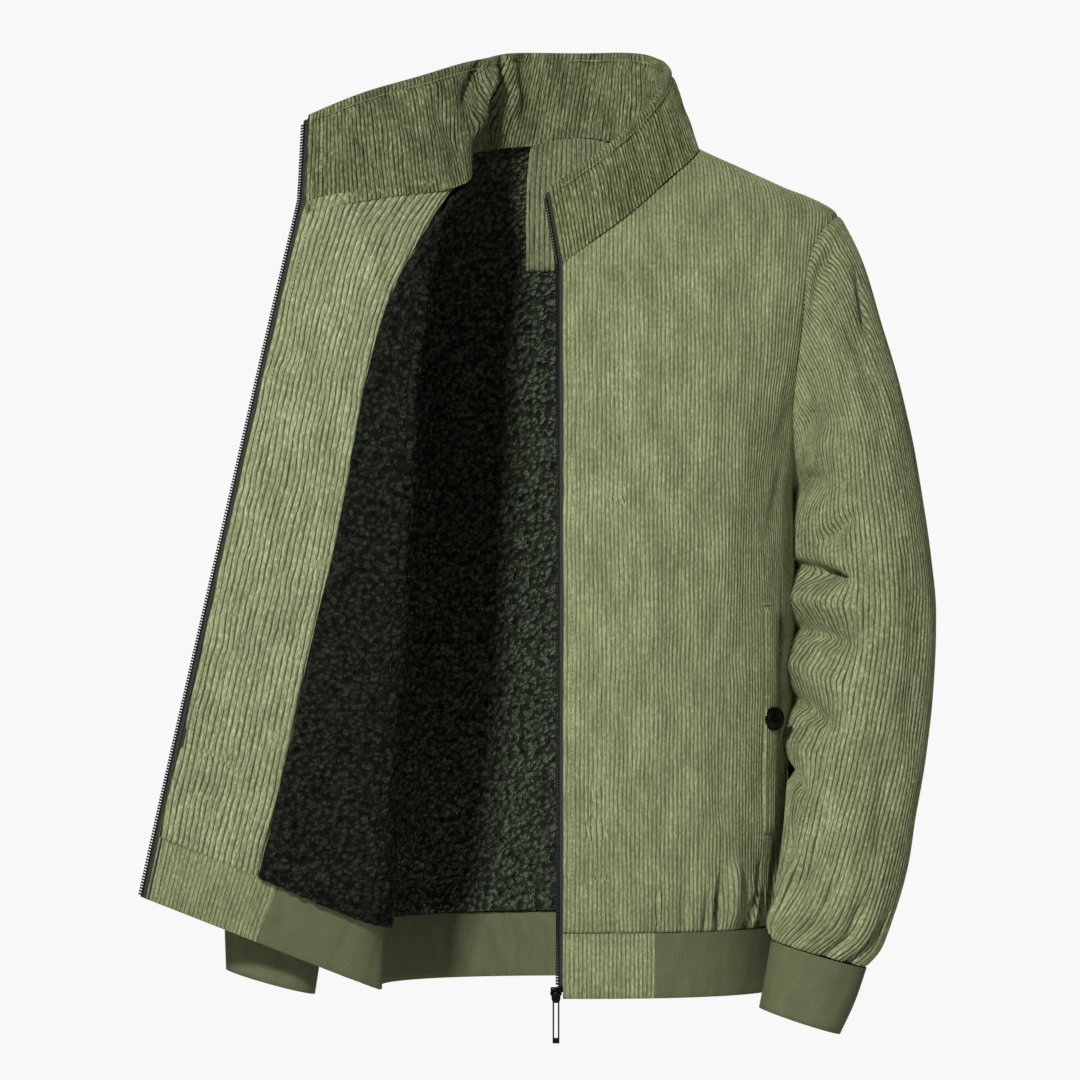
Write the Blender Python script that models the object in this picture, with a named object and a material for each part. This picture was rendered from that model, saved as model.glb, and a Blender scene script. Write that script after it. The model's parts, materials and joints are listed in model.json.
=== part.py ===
"""Stand-collar corduroy jacket, filled out as if worn, with its right front swung open.

Metres, +Z up. The wearer faces -Y, and the wearer's left is +X. The origin lies between the shoulders,
level with the two points where the shoulder seams meet the collar.
Each cloth panel is drawn in its own flat pattern, across the cloth and up it, and laid on the body's form.
"""

import math
from typing import NamedTuple

import bmesh
import bpy
import numpy as np
from mathutils import Vector

MM = 0.001

# ---------------------------------------------------------------- driving sizes
SEAM = 0.3 * MM  # gap left between two pieces that are sewn together
CLOTH = 2.0 * MM  # corduroy wall
PILE = 5.0 * MM  # deep-pile lining wall
RIB = 3.0 * MM  # folded rib knit wall
COLLAR_WALL = 3.0 * MM  # each side of the padded collar

CENTRE_X = 0.008  # middle line of the body
HEM_Z = -0.630  # seam between the panels and the waistband
BAND_Z = -0.682  # lower edge of the waistband
NECK_FRONT_Z = -0.100
NECK_SIDE_Z = 0.0
NECK_BACK_Z = 0.013
ZIP_EDGE = -0.012  # left front edge, measured along the cloth from the body's middle line

ARMHOLE_TOP_Z = -0.058
ARMHOLE_BOTTOM_Z = -0.272
ARMHOLE_HALF_DEPTH = 0.062

ROLL_SMOOTHING = 0.030  # softness of the fold of the open front, along the cloth


class Level(NamedTuple):
    """One level cut through the body of the jacket."""

    z: float
    half_width: float
    front: float
    back: float
    squareness: float


BODY = (
    Level(z=-0.700, half_width=0.163, front=0.124, back=0.112, squareness=2.3),
    Level(z=-0.682, half_width=0.163, front=0.125, back=0.114, squareness=2.3),
    Level(z=-0.630, half_width=0.165, front=0.131, back=0.122, squareness=2.3),
    Level(z=-0.600, half_width=0.169, front=0.143, back=0.137, squareness=2.3),
    Level(z=-0.540, half_width=0.169, front=0.147, back=0.142, squareness=2.4),
    Level(z=-0.420, half_width=0.170, front=0.149, back=0.142, squareness=2.5),
    Level(z=-0.300, half_width=0.170, front=0.149, back=0.142, squareness=2.5),
    Level(z=-0.250, half_width=0.174, front=0.145, back=0.142, squareness=2.5),
    Level(z=-0.200, half_width=0.185, front=0.136, back=0.140, squareness=2.4),
    Level(z=-0.150, half_width=0.199, front=0.118, back=0.134, squareness=2.4),
    Level(z=-0.100, half_width=0.209, front=0.093, back=0.120, squareness=2.3),
    Level(z=-0.058, half_width=0.211, front=0.069, back=0.102, squareness=2.2),
    Level(z=-0.030, half_width=0.158, front=0.048, back=0.088, squareness=2.1),
    Level(z=0.000, half_width=0.096, front=0.030, back=0.072, squareness=2.0),
    Level(z=0.013, half_width=0.070, front=0.022, back=0.064, squareness=2.0),
)


class SleeveRing(NamedTuple):
    """One ring of a sleeve: its outermost and innermost points and its size from front to back."""

    outer_x: float
    outer_z: float
    inner_x: float
    inner_z: float
    middle_y: float
    half_depth: float


LEFT_SLEEVE = (
    SleeveRing(outer_x=0.2190, outer_z=-0.058, inner_x=0.1800, inner_z=-0.2720,
               middle_y=0.000, half_depth=0.062),
    SleeveRing(outer_x=0.2380, outer_z=-0.094, inner_x=0.1830, inner_z=-0.2770,
               middle_y=0.000, half_depth=0.067),
    SleeveRing(outer_x=0.2545, outer_z=-0.141, inner_x=0.1845, inner_z=-0.2830,
               middle_y=0.001, half_depth=0.071),
    SleeveRing(outer_x=0.2690, outer_z=-0.190, inner_x=0.1855, inner_z=-0.2910,
               middle_y=0.002, half_depth=0.074),
    SleeveRing(outer_x=0.2800, outer_z=-0.240, inner_x=0.1865, inner_z=-0.3030,
               middle_y=0.002, half_depth=0.075),
    SleeveRing(outer_x=0.2880, outer_z=-0.288, inner_x=0.1885, inner_z=-0.3220,
               middle_y=0.001, half_depth=0.075),
    SleeveRing(outer_x=0.2945, outer_z=-0.333, inner_x=0.1920, inner_z=-0.3480,
               middle_y=-0.001, half_depth=0.074),
    SleeveRing(outer_x=0.2985, outer_z=-0.378, inner_x=0.1925, inner_z=-0.3800,
               middle_y=-0.004, half_depth=0.072),
    SleeveRing(outer_x=0.2970, outer_z=-0.424, inner_x=0.1890, inner_z=-0.4170,
               middle_y=-0.012, half_depth=0.069),
    SleeveRing(outer_x=0.2925, outer_z=-0.470, inner_x=0.1845, inner_z=-0.4560,
               middle_y=-0.026, half_depth=0.065),
    SleeveRing(outer_x=0.2850, outer_z=-0.515, inner_x=0.1800, inner_z=-0.4950,
               middle_y=-0.047, half_depth=0.061),
    SleeveRing(outer_x=0.2750, outer_z=-0.560, inner_x=0.1755, inner_z=-0.5330,
               middle_y=-0.068, half_depth=0.057),
    SleeveRing(outer_x=0.2640, outer_z=-0.603, inner_x=0.1700, inner_z=-0.5720,
               middle_y=-0.086, half_depth=0.053),
    SleeveRing(outer_x=0.2515, outer_z=-0.640, inner_x=0.1640, inner_z=-0.6060,
               middle_y=-0.099, half_depth=0.047),
    SleeveRing(outer_x=0.2370, outer_z=-0.658, inner_x=0.1610, inner_z=-0.6360,
               middle_y=-0.106, half_depth=0.036),
)
LEFT_CUFF = (
    SleeveRing(outer_x=0.2366, outer_z=-0.6585, inner_x=0.1609, inner_z=-0.6366,
               middle_y=-0.1062, half_depth=0.0356),
    SleeveRing(outer_x=0.2270, outer_z=-0.685, inner_x=0.1560, inner_z=-0.6640,
               middle_y=-0.112, half_depth=0.031),
    SleeveRing(outer_x=0.2150, outer_z=-0.710, inner_x=0.1510, inner_z=-0.6890,
               middle_y=-0.116, half_depth=0.029),
)
RIGHT_SLEEVE = (
    SleeveRing(outer_x=-0.2030, outer_z=-0.058, inner_x=-0.1640, inner_z=-0.2720,
               middle_y=0.000, half_depth=0.062),
    SleeveRing(outer_x=-0.2130, outer_z=-0.094, inner_x=-0.1670, inner_z=-0.2770,
               middle_y=0.004, half_depth=0.066),
    SleeveRing(outer_x=-0.2230, outer_z=-0.141, inner_x=-0.1690, inner_z=-0.2840,
               middle_y=0.010, half_depth=0.069),
    SleeveRing(outer_x=-0.2320, outer_z=-0.190, inner_x=-0.1705, inner_z=-0.2930,
               middle_y=0.016, half_depth=0.071),
    SleeveRing(outer_x=-0.2400, outer_z=-0.240, inner_x=-0.1720, inner_z=-0.3050,
               middle_y=0.021, half_depth=0.072),
    SleeveRing(outer_x=-0.2475, outer_z=-0.288, inner_x=-0.1740, inner_z=-0.3240,
               middle_y=0.025, half_depth=0.072),
    SleeveRing(outer_x=-0.2540, outer_z=-0.333, inner_x=-0.1760, inner_z=-0.3500,
               middle_y=0.027, half_depth=0.072),
    SleeveRing(outer_x=-0.2600, outer_z=-0.378, inner_x=-0.1780, inner_z=-0.3830,
               middle_y=0.028, half_depth=0.070),
    SleeveRing(outer_x=-0.2650, outer_z=-0.424, inner_x=-0.1800, inner_z=-0.4220,
               middle_y=0.028, half_depth=0.067),
    SleeveRing(outer_x=-0.2695, outer_z=-0.468, inner_x=-0.1825, inner_z=-0.4620,
               middle_y=0.026, half_depth=0.063),
    SleeveRing(outer_x=-0.2735, outer_z=-0.510, inner_x=-0.1850, inner_z=-0.5010,
               middle_y=0.022, half_depth=0.059),
    SleeveRing(outer_x=-0.2770, outer_z=-0.548, inner_x=-0.1880, inner_z=-0.5380,
               middle_y=0.016, half_depth=0.055),
    SleeveRing(outer_x=-0.2800, outer_z=-0.580, inner_x=-0.1915, inner_z=-0.5720,
               middle_y=0.008, half_depth=0.050),
    SleeveRing(outer_x=-0.2810, outer_z=-0.602, inner_x=-0.1945, inner_z=-0.6020,
               middle_y=0.000, half_depth=0.044),
    SleeveRing(outer_x=-0.2780, outer_z=-0.616, inner_x=-0.1970, inner_z=-0.6300,
               middle_y=-0.004, half_depth=0.036),
)
RIGHT_CUFF = (
    SleeveRing(outer_x=-0.2778, outer_z=-0.6166, inner_x=-0.1971, inner_z=-0.6306,
               middle_y=-0.0041, half_depth=0.0356),
    SleeveRing(outer_x=-0.2770, outer_z=-0.643, inner_x=-0.2000, inner_z=-0.6600,
               middle_y=-0.007, half_depth=0.031),
    SleeveRing(outer_x=-0.2760, outer_z=-0.667, inner_x=-0.2040, inner_z=-0.6870,
               middle_y=-0.009, half_depth=0.029),
)


class SleevePlace(NamedTuple):
    """A value at a place counted in rows of a table."""

    place: float
    value: float


class OpenEdge(NamedTuple):
    """Where the open right front lies, for one height on its closed self."""

    z: float
    edge_x: float
    edge_y: float
    edge_z: float
    roll: float  # from the front edge to the fold, along the cloth


OPEN_FRONT = (
    OpenEdge(z=-0.700, edge_x=-0.3390, edge_y=-0.112, edge_z=-0.6210, roll=0.2060),
    OpenEdge(z=-0.682, edge_x=-0.3350, edge_y=-0.112, edge_z=-0.6030, roll=0.2020),
    OpenEdge(z=-0.630, edge_x=-0.3240, edge_y=-0.112, edge_z=-0.5540, roll=0.1850),
    OpenEdge(z=-0.390, edge_x=-0.2720, edge_y=-0.117, edge_z=-0.3280, roll=0.1520),
    OpenEdge(z=-0.100, edge_x=-0.2090, edge_y=-0.105, edge_z=-0.0520, roll=0.1180),
    OpenEdge(z=-0.050, edge_x=-0.1980, edge_y=-0.102, edge_z=-0.0070, roll=0.1000),
    OpenEdge(z=0.000, edge_x=-0.1870, edge_y=-0.098, edge_z=0.0380, roll=0.0700),
)


class FacingWidth(NamedTuple):
    """Width of the front facing at a part of the panel's height."""

    part: float
    width: float


FACING = (
    FacingWidth(part=0.00, width=0.078),
    FacingWidth(part=0.25, width=0.079),
    FacingWidth(part=0.50, width=0.082),
    FacingWidth(part=0.75, width=0.086),
    FacingWidth(part=0.90, width=0.096),
    FacingWidth(part=1.00, width=0.104),
)
FACING_NECK_PART = 0.85  # share of the front neck seam that the facing takes up
NECK_HOLLOW = 0.004


class Edge(NamedTuple):
    """One point of the collar: its seam to the body is worked out, its top edge is given."""

    top_x: float
    top_y: float
    top_z: float


COLLAR_TOP = (
    Edge(top_x=-0.0150, top_y=-0.094, top_z=-0.0400),
    Edge(top_x=0.0280, top_y=-0.088, top_z=-0.0100),
    Edge(top_x=0.0610, top_y=-0.064, top_z=0.0210),
    Edge(top_x=0.0820, top_y=-0.022, top_z=0.0560),
    Edge(top_x=0.0740, top_y=0.028, top_z=0.0740),
    Edge(top_x=0.0380, top_y=0.060, top_z=0.0800),
    Edge(top_x=-0.0120, top_y=0.066, top_z=0.0800),
    Edge(top_x=-0.0520, top_y=0.046, top_z=0.0780),
    Edge(top_x=-0.0800, top_y=0.002, top_z=0.0680),
    Edge(top_x=-0.1200, top_y=-0.038, top_z=0.0520),
    Edge(top_x=-0.1650, top_y=-0.072, top_z=0.0360),
    Edge(top_x=-0.2070, top_y=-0.098, top_z=0.0170),
)

FACING_COLUMNS = 3
FRONT_COLUMNS = 12
BACK_COLUMNS = 12
SIDE_ROWS = 6  # hem to underarm
ARM_ROWS = 7  # underarm to shoulder tip
SHOULDER_ROWS = 3  # shoulder tip to neck
COLLAR_ROWS = 2
SIDE_MARGIN = 0.004  # stretch beside the shoulder seam that the fold leaves alone
ARMHOLE_BLEND = 4.0  # rings over which a sleeve takes up its own oval
ROLL_STEPS = np.linspace(-1.0, 1.0, 7)
ARC = np.linspace(0.0, math.pi / 2, 41)


# ---------------------------------------------------------------- form of the body
def column(table, name, key, at):
    """Values of one named column of a table at the given places, joined smoothly without overshoot."""
    rows = sorted(table, key=lambda row: getattr(row, key))
    x = np.array([getattr(row, key) for row in rows])
    y = np.array([getattr(row, name) for row in rows])
    run = np.diff(x)
    rise = np.diff(y) / run
    slope = np.concatenate([rise[:1], (rise[1:] + rise[:-1]) / 2, rise[-1:]])
    turns = rise[1:] * rise[:-1] <= 0
    slope[1:-1][turns] = 0.0
    at = np.clip(np.asarray(at, float), x[0], x[-1])
    k = np.clip(np.searchsorted(x, at) - 1, 0, len(x) - 2)
    t = (at - x[k]) / run[k]
    curve = y[k] * (1 + 2 * t) * (1 - t) ** 2 + y[k + 1] * t * t * (3 - 2 * t)
    return curve + run[k] * (slope[k] * t * (1 - t) ** 2 + slope[k + 1] * t * t * (t - 1))


def quarter(z, face):
    """Each level's quarter outline from the middle line to the side, and the length along it."""
    half = column(BODY, "half_width", "z", z)[..., None]
    depth = column(BODY, face, "z", z)[..., None]
    power = 2 / column(BODY, "squareness", "z", z)[..., None]
    across = half * np.sin(ARC) ** power
    forward = depth * np.abs(np.cos(ARC)) ** power
    steps = np.hypot(np.diff(across), np.diff(forward))
    along = np.concatenate([np.zeros_like(steps[..., :1]), np.cumsum(steps, axis=-1)], axis=-1)
    return across, forward, along


def full_arc(z, face):
    """Length from the middle line to the side at a level."""
    return quarter(z, face)[2][..., -1]


def on_body(arc, z, side, face):
    """The point of the jacket's outer face at a length along its level, left (1) or right (-1)."""
    across, forward, along = quarter(z, face)
    target = np.abs(arc)
    over = np.maximum(target - along[..., -1], 0.0)
    target = np.minimum(target, along[..., -1])[..., None]
    k = np.clip((along < target).sum(axis=-1) - 1, 0, len(ARC) - 2)[..., None]
    low, high = np.take_along_axis(along, k, -1), np.take_along_axis(along, k + 1, -1)
    t = (target - low) / np.maximum(high - low, 1e-9)
    x, y = (
        (np.take_along_axis(path, k, -1) * (1 - t) + np.take_along_axis(path, k + 1, -1) * t)[..., 0]
        for path in (across, forward)
    )
    away = -1.0 if face == "front" else 1.0
    x = CENTRE_X + side * np.sign(arc + 1e-12) * x
    return np.stack([x, away * (y - over), np.broadcast_to(z, x.shape)], axis=-1)


def roll_arc(z):
    """Length along the cloth from the middle line to the fold of the open front."""
    return ZIP_EDGE + column(OPEN_FRONT, "roll", "z", z)


def open_front_raw(arc, z):
    roll = roll_arc(z)
    fold = on_body(roll, z, -1, "front")
    names = ("edge_x", "edge_y", "edge_z")
    edge = np.stack([column(OPEN_FRONT, name, "z", z) for name in names], axis=-1)
    part = ((roll - arc) / (roll - ZIP_EDGE))[..., None]
    turned = fold + (edge - fold) * part
    kept = on_body(np.maximum(arc, roll), z, -1, "front")
    return np.where(part > 0, turned, kept)


def open_front(arc, z):
    """The right front: its outer part is folded back about a soft roll, its rest lies on the body."""
    arc, z = np.broadcast_arrays(np.asarray(arc, float), np.asarray(z, float))
    reach = ROLL_SMOOTHING * np.maximum(0.0, 1 - ((arc - roll_arc(z)) / (3.2 * ROLL_SMOOTHING)) ** 2)
    reach = np.minimum(reach, 0.6 * np.maximum(0.0, full_arc(z, "front") - SIDE_MARGIN - arc))
    total = sum(open_front_raw(arc + step * reach, z) for step in ROLL_STEPS)
    return total / len(ROLL_STEPS)


def left_front(arc, z):
    arc, z = np.broadcast_arrays(np.asarray(arc, float), np.asarray(z, float))
    return on_body(arc, z, 1, "front")


def back(arc, z):
    """The back, from the wearer's right side (negative lengths) to the left side."""
    arc, z = np.broadcast_arrays(np.asarray(arc, float), np.asarray(z, float))
    return on_body(arc, z, 1, "back")


# ---------------------------------------------------------------- flat patterns
def armhole(face):
    """The armhole in the pattern, from the underarm to the shoulder tip: rows of length and height."""
    middle, half = (ARMHOLE_TOP_Z + ARMHOLE_BOTTOM_Z) / 2, (ARMHOLE_TOP_Z - ARMHOLE_BOTTOM_Z) / 2
    turn = np.linspace(0.0, math.pi, ARM_ROWS + 1)
    z = middle - half * np.cos(turn)
    depth = column(BODY, face, "z", z)
    power = column(BODY, "squareness", "z", z) / 2
    angle = np.arccos(np.clip(ARMHOLE_HALF_DEPTH * np.sin(turn) / depth, 0, 1) ** power)
    arcs = quarter(z, face)[2]
    return np.stack([[np.interp(a, ARC, row) for a, row in zip(angle, arcs)], z], axis=-1)


def side_line(face):
    """A panel's side edge in the pattern: side seam, armhole and shoulder seam."""
    low = np.linspace(HEM_Z, ARMHOLE_BOTTOM_Z, SIDE_ROWS + 1)[:-1]
    high = np.linspace(ARMHOLE_TOP_Z, NECK_SIDE_Z, SHOULDER_ROWS + 1)[1:]
    return np.concatenate([
        np.stack([full_arc(low, face), low], axis=-1),
        armhole(face),
        np.stack([full_arc(high, face), high], axis=-1),
    ])


def transfinite(bottom, top, left, right):
    """A grid of pattern points between four edges that share their corners."""
    s = np.linspace(0, 1, len(bottom))[:, None, None]
    r = np.linspace(0, 1, len(left))[None, :, None]
    edges = (1 - r) * bottom[:, None] + r * top[:, None] + (1 - s) * left[None] + s * right[None]
    corners = (1 - s) * ((1 - r) * bottom[0] + r * top[0]) + s * ((1 - r) * bottom[-1] + r * top[-1])
    return edges - corners


def line(start, end, count):
    return np.linspace(np.array(start, float), np.array(end, float), count)


def front_neck():
    """The neck seam of a front in the pattern, from the front edge to the shoulder seam."""
    end = (full_arc(np.array(NECK_SIDE_Z), "front"), NECK_SIDE_Z)
    seam = line((ZIP_EDGE, NECK_FRONT_Z), end, FRONT_COLUMNS + 1)
    part = np.linspace(0, 1, FRONT_COLUMNS + 1)
    part[: FACING_COLUMNS + 1] = np.linspace(0, FACING_NECK_PART, FACING_COLUMNS + 1)
    part[FACING_COLUMNS:] = np.linspace(FACING_NECK_PART, 1, FRONT_COLUMNS - FACING_COLUMNS + 1)
    seam = seam[0] + (seam[-1] - seam[0]) * part[:, None]
    seam[:, 1] -= NECK_HOLLOW * np.sin(math.pi * part)
    return seam


def front_pattern():
    """A front in its flat pattern: its facing's columns first, then the columns of its lining."""
    right = side_line("front")
    left = line((ZIP_EDGE, HEM_Z), (ZIP_EDGE, NECK_FRONT_Z), len(right))
    neck = front_neck()
    height = np.linspace(0, 1, len(right))
    split = line((ZIP_EDGE, HEM_Z), neck[FACING_COLUMNS], len(right))
    split[:, 0] = ZIP_EDGE + column(FACING, "width", "part", height)
    split[-1] = neck[FACING_COLUMNS]
    hem_split = line(left[0], split[0], FACING_COLUMNS + 1)
    hem_rest = line(split[0], right[0], FRONT_COLUMNS - FACING_COLUMNS + 1)
    near = transfinite(hem_split, neck[: FACING_COLUMNS + 1], left, split)
    far = transfinite(hem_rest, neck[FACING_COLUMNS:], split, right)
    return np.concatenate([near, far[1:]])


def back_neck():
    """The back's neck seam in the pattern, from the right shoulder to the left."""
    end = full_arc(np.array(NECK_SIDE_Z), "back")
    part = np.linspace(-1, 1, BACK_COLUMNS + 1)
    return np.stack([end * part, NECK_BACK_Z + (NECK_SIDE_Z - NECK_BACK_Z) * part**2], axis=-1)


def back_pattern():
    right = side_line("back")
    left = right * (-1, 1)
    bottom = line(left[0], right[0], BACK_COLUMNS + 1)
    return transfinite(bottom, back_neck(), left, right)


def trimmed(grid, left=SEAM / 2, right=SEAM / 2, bottom=SEAM / 2, top=SEAM / 2):
    """The pattern drawn in from its edges, so that two sewn pieces keep their seam gap."""
    grid = grid.copy()
    for edge, inner, amount in ((0, 1, left), (-1, -2, right)):
        step = grid[inner] - grid[edge]
        grid[edge] += step / np.linalg.norm(step, axis=-1, keepdims=True) * amount
    for edge, inner, amount in ((0, 1, bottom), (-1, -2, top)):
        step = grid[:, inner] - grid[:, edge]
        grid[:, edge] += step / np.linalg.norm(step, axis=-1, keepdims=True) * amount
    return grid


def outward(surface, grid, flip):
    """The outer face's normal at every pattern point."""
    small = 0.001
    arc, z = grid[..., 0], grid[..., 1]
    across = surface(arc + small, z) - surface(arc - small, z)
    up = surface(arc, z + small) - surface(arc, z - small)
    normal = np.cross(across, up) * flip
    return normal / np.linalg.norm(normal, axis=-1, keepdims=True)


# ---------------------------------------------------------------- solids
def material(name, colour, roughness, metallic=0.0):
    found = bpy.data.materials.get(name)
    if found:
        return found
    made = bpy.data.materials.new(name)
    made.use_nodes = True
    shader = made.node_tree.nodes["Principled BSDF"]
    shader.inputs["Base Color"].default_value = (*colour, 1.0)
    shader.inputs["Roughness"].default_value = roughness
    shader.inputs["Metallic"].default_value = metallic
    made.diffuse_color = (*colour, 1.0)
    return made


def finish(name, mesh_maker, look, parent=None):
    """Puts a bmesh into a named object of the jacket's collection."""
    mesh = bpy.data.meshes.new(name)
    bmesh.ops.recalc_face_normals(mesh_maker, faces=mesh_maker.faces)
    mesh_maker.to_mesh(mesh)
    mesh_maker.free()
    mesh.materials.append(look)
    made = bpy.data.objects.new(name, mesh)
    bpy.data.collections[COLLECTION].objects.link(made)
    if parent:
        made.parent = parent
    return made


def wall(name, outer, inner, look, tube=False, parent=None):
    """A cloth wall: an open grid on its outer face, thickened to its inner face."""
    columns, rows = outer.shape[:2]
    shell = bmesh.new()
    bmesh.ops.create_grid(shell, x_segments=columns - 1, y_segments=rows - 1, size=1.0)
    order = sorted(shell.verts, key=lambda v: (round(v.co.y * 1000), v.co.x))
    placed = {}
    for index, vert in enumerate(order):
        vert.co = outer[index % columns, index // columns]
        placed[tuple(vert.co)] = (index % columns, index // columns)
    if tube:
        bmesh.ops.remove_doubles(shell, verts=shell.verts, dist=0.01 * MM)
    lifted = bmesh.ops.extrude_face_region(shell, geom=list(shell.faces))
    for vert in [item for item in lifted["geom"] if isinstance(item, bmesh.types.BMVert)]:
        vert.co = inner[placed[tuple(vert.co)]]
    return finish(name, shell, look, parent)


def layer(name, surface, grid, flip, look, depth, thickness):
    """A panel's wall, from a depth under the outer face inwards."""
    base, normal = surface(grid[..., 0], grid[..., 1]), outward(surface, grid, flip)
    return wall(name, base - normal * depth, base - normal * (depth + thickness), look)


def ring_column(rings, name, at):
    """A sleeve table's column at a place counted in rings."""
    rows = [SleevePlace(index, getattr(ring, name)) for index, ring in enumerate(rings)]
    return column(rows, "value", "place", at)


def armhole_loop(side, turn):
    """The armhole seam in space at turns about it: 0 at the shoulder tip, a quarter at its front."""
    half = np.linspace(0.0, math.pi, ARM_ROWS + 1)
    front, rear = armhole("front")[::-1], armhole("back")[::-1]
    loop = np.concatenate([on_body(front[:, 0], front[:, 1], side, "front"),
                           on_body(rear[:, 0], rear[:, 1], side, "back")[-2::-1]])
    turns = np.concatenate([half, 2 * math.pi - half[-2::-1]])
    return np.stack([np.interp(turn, turns, loop[:, axis]) for axis in range(3)], axis=-1)


def ring_ellipse(rings, turn, place):
    """The plain oval of a sleeve at a place counted in rings."""
    named = {name: ring_column(rings, name, place) for name in SleeveRing._fields}
    out = (1 + np.cos(turn)) / 2
    x = named["inner_x"] + (named["outer_x"] - named["inner_x"]) * out
    y = named["middle_y"] - named["half_depth"] * np.sin(turn)
    z = named["inner_z"] + (named["outer_z"] - named["inner_z"]) * out
    return np.stack([x, y, z], axis=-1)


def sleeve_surface(rings, side):
    """A sleeve's outer face as a function of the turn about it and the place along it."""
    def surface(turn, place):
        turn, place = np.broadcast_arrays(np.asarray(turn, float), np.asarray(place, float))
        around = np.mod(turn, 2 * math.pi)
        fit = np.clip(1 - place / ARMHOLE_BLEND, 0, 1)[..., None] ** 1.5
        start = armhole_loop(side, around) - ring_ellipse(rings, around, np.zeros_like(place))
        return ring_ellipse(rings, around, place) + start * fit
    return surface


def cuff_surface(rings):
    def surface(turn, place):
        turn, place = np.broadcast_arrays(np.asarray(turn, float), np.asarray(place, float))
        return ring_ellipse(rings, turn, place)
    return surface


def tube(name, surface, places, side, look, thickness):
    """A tube of cloth through the given places along a sleeve."""
    turns = np.linspace(0, 2 * math.pi, 2 * ARM_ROWS + 1)
    grid = np.stack(np.meshgrid(turns, places, indexing="ij"), axis=-1)
    outer = surface(grid[..., 0], grid[..., 1])
    normal = outward(surface, grid, side)
    return wall(name, outer, outer - normal * thickness, look, tube=True)


def neck_seam():
    """The collar's seam in space, from the left front edge round the neck to the right front edge."""
    front, rear = front_neck(), back_neck()
    left = left_front(front[:, 0], front[:, 1])
    behind = back(rear[::-1, 0], rear[::-1, 1])
    right = open_front(front[::-1, 0], front[::-1, 1])
    return np.concatenate([left, behind[1:-1], right])


def collar(part, rise):
    """The collar's outer face: part runs along the neck seam, rise from the seam to the top edge."""
    part, rise = np.broadcast_arrays(np.asarray(part, float), np.asarray(rise, float))
    seam = neck_seam()
    along = np.concatenate([[0.0], np.cumsum(np.linalg.norm(np.diff(seam, axis=0), axis=1))])
    at = part * along[-1]
    foot = np.stack([np.interp(at, along, seam[:, axis]) for axis in range(3)], axis=-1)
    rows = [SleevePlace(index, 0.0) for index in range(len(COLLAR_TOP))]
    top = np.stack([
        column([SleevePlace(row.place, getattr(edge, name)) for row, edge in zip(rows, COLLAR_TOP)],
               "value", "place", part * (len(COLLAR_TOP) - 1))
        for name in ("top_x", "top_y", "top_z")], axis=-1)
    return foot + (top - foot) * rise[..., None]


# ---------------------------------------------------------------- pieces
COLLECTION = "corduroy_jacket"
CUTTERS = "corduroy_jacket_cutters"
CORDUROY = ("corduroy", (0.27, 0.29, 0.15), 0.9)
KNIT = ("rib_knit", (0.11, 0.13, 0.06), 0.9)
FLEECE = ("pile_lining", (0.02, 0.03, 0.02), 1.0)
TAPE = ("zip_tape", (0.03, 0.035, 0.02), 0.7)
METAL = ("dark_metal", (0.03, 0.03, 0.03), 0.35, 0.9)
SNAP = ("black_snap", (0.01, 0.01, 0.01), 0.25)

LINING_DEPTH = CLOTH + 3 * SEAM
PATCH_DEPTH = LINING_DEPTH + PILE + SEAM
BAND_END_LEFT = 0.062  # where the left corduroy band end stops, along the cloth
BAND_END_RIGHT = 0.084
PATCH_COLUMNS = slice(5, 8)
PATCH_ROWS = slice(-6, None)

POCKET_TOP_Z = -0.372
POCKET_BOTTOM_Z = -0.556
POCKET_X = 0.147  # front side of the welt, from the body's middle line
POCKET_X_RIGHT = 0.152  # the same on the right, where the open front's fold takes more room
POCKET_WIDTH = 0.018
POCKET_LIFT = 0.9 * MM
WELT = 2.5 * MM
BUTTON_Z = -0.462
BUTTON_RADIUS = 9.5 * MM
BUTTON_HEIGHT = 4.0 * MM

ZIP_WIDTH = 6.0 * MM
ZIP_THICKNESS = 3.0 * MM
SLIDER_WIDTH = 9.0 * MM
SLIDER_ASIDE = 1.8 * MM  # slider middle outside the zip tape middle
SLIDER_DEPTH = 6.0 * MM
SLIDER_TOP_Z = -0.6725
SLIDER_HEIGHT = 11.5 * MM
PIN_RADIUS = 0.9 * MM
PIN_FORWARD = 2.6 * MM
LUG_WIDTH = 1.4 * MM
LUG_HEIGHT = 3.0 * MM
LUG_OVERLAP = 3.0 * MM  # how far a lug's depth goes past the slider's face
LUG_ASIDE = 1.1 * MM  # lug middle outside the pull's edge
PULL_EYE = 1.2 * MM  # metal round the pull's eye
SLOT_WIDTH = 2.0 * MM
PULL_LENGTH = 42.0 * MM
PULL_WIDTH = 5.6 * MM
PULL_THICKNESS = 2.0 * MM
PIN_CLEARANCE = 0.4 * MM


def clear_scene():
    """Removes what the scene starts with and makes the two collections."""
    for item in list(bpy.data.objects):
        bpy.data.objects.remove(item, do_unlink=True)
    for name in (COLLECTION, CUTTERS):
        bpy.context.scene.collection.children.link(bpy.data.collections.new(name))
    bpy.data.collections[CUTTERS].hide_render = True


def front_layers(side_name, surface, flip, slack):
    """One front: its corduroy panel, its corduroy facing and its pile lining."""
    pattern = front_pattern()
    corduroy, fleece = material(*CORDUROY), material(*FLEECE)
    whole = trimmed(pattern)
    layer(f"front_{side_name}", surface, whole, flip, corduroy, 0.0, CLOTH)
    facing = trimmed(whole[: FACING_COLUMNS + 1], left=0, right=2 * SEAM, bottom=0, top=0)
    layer(f"facing_{side_name}", surface, facing, flip, corduroy, LINING_DEPTH, CLOTH)
    lining = trimmed(whole[FACING_COLUMNS:], left=2 * SEAM + 2 * slack, right=0, bottom=0, top=0)
    layer(f"lining_{side_name}", surface, lining, flip, fleece, LINING_DEPTH + slack, PILE)


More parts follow.
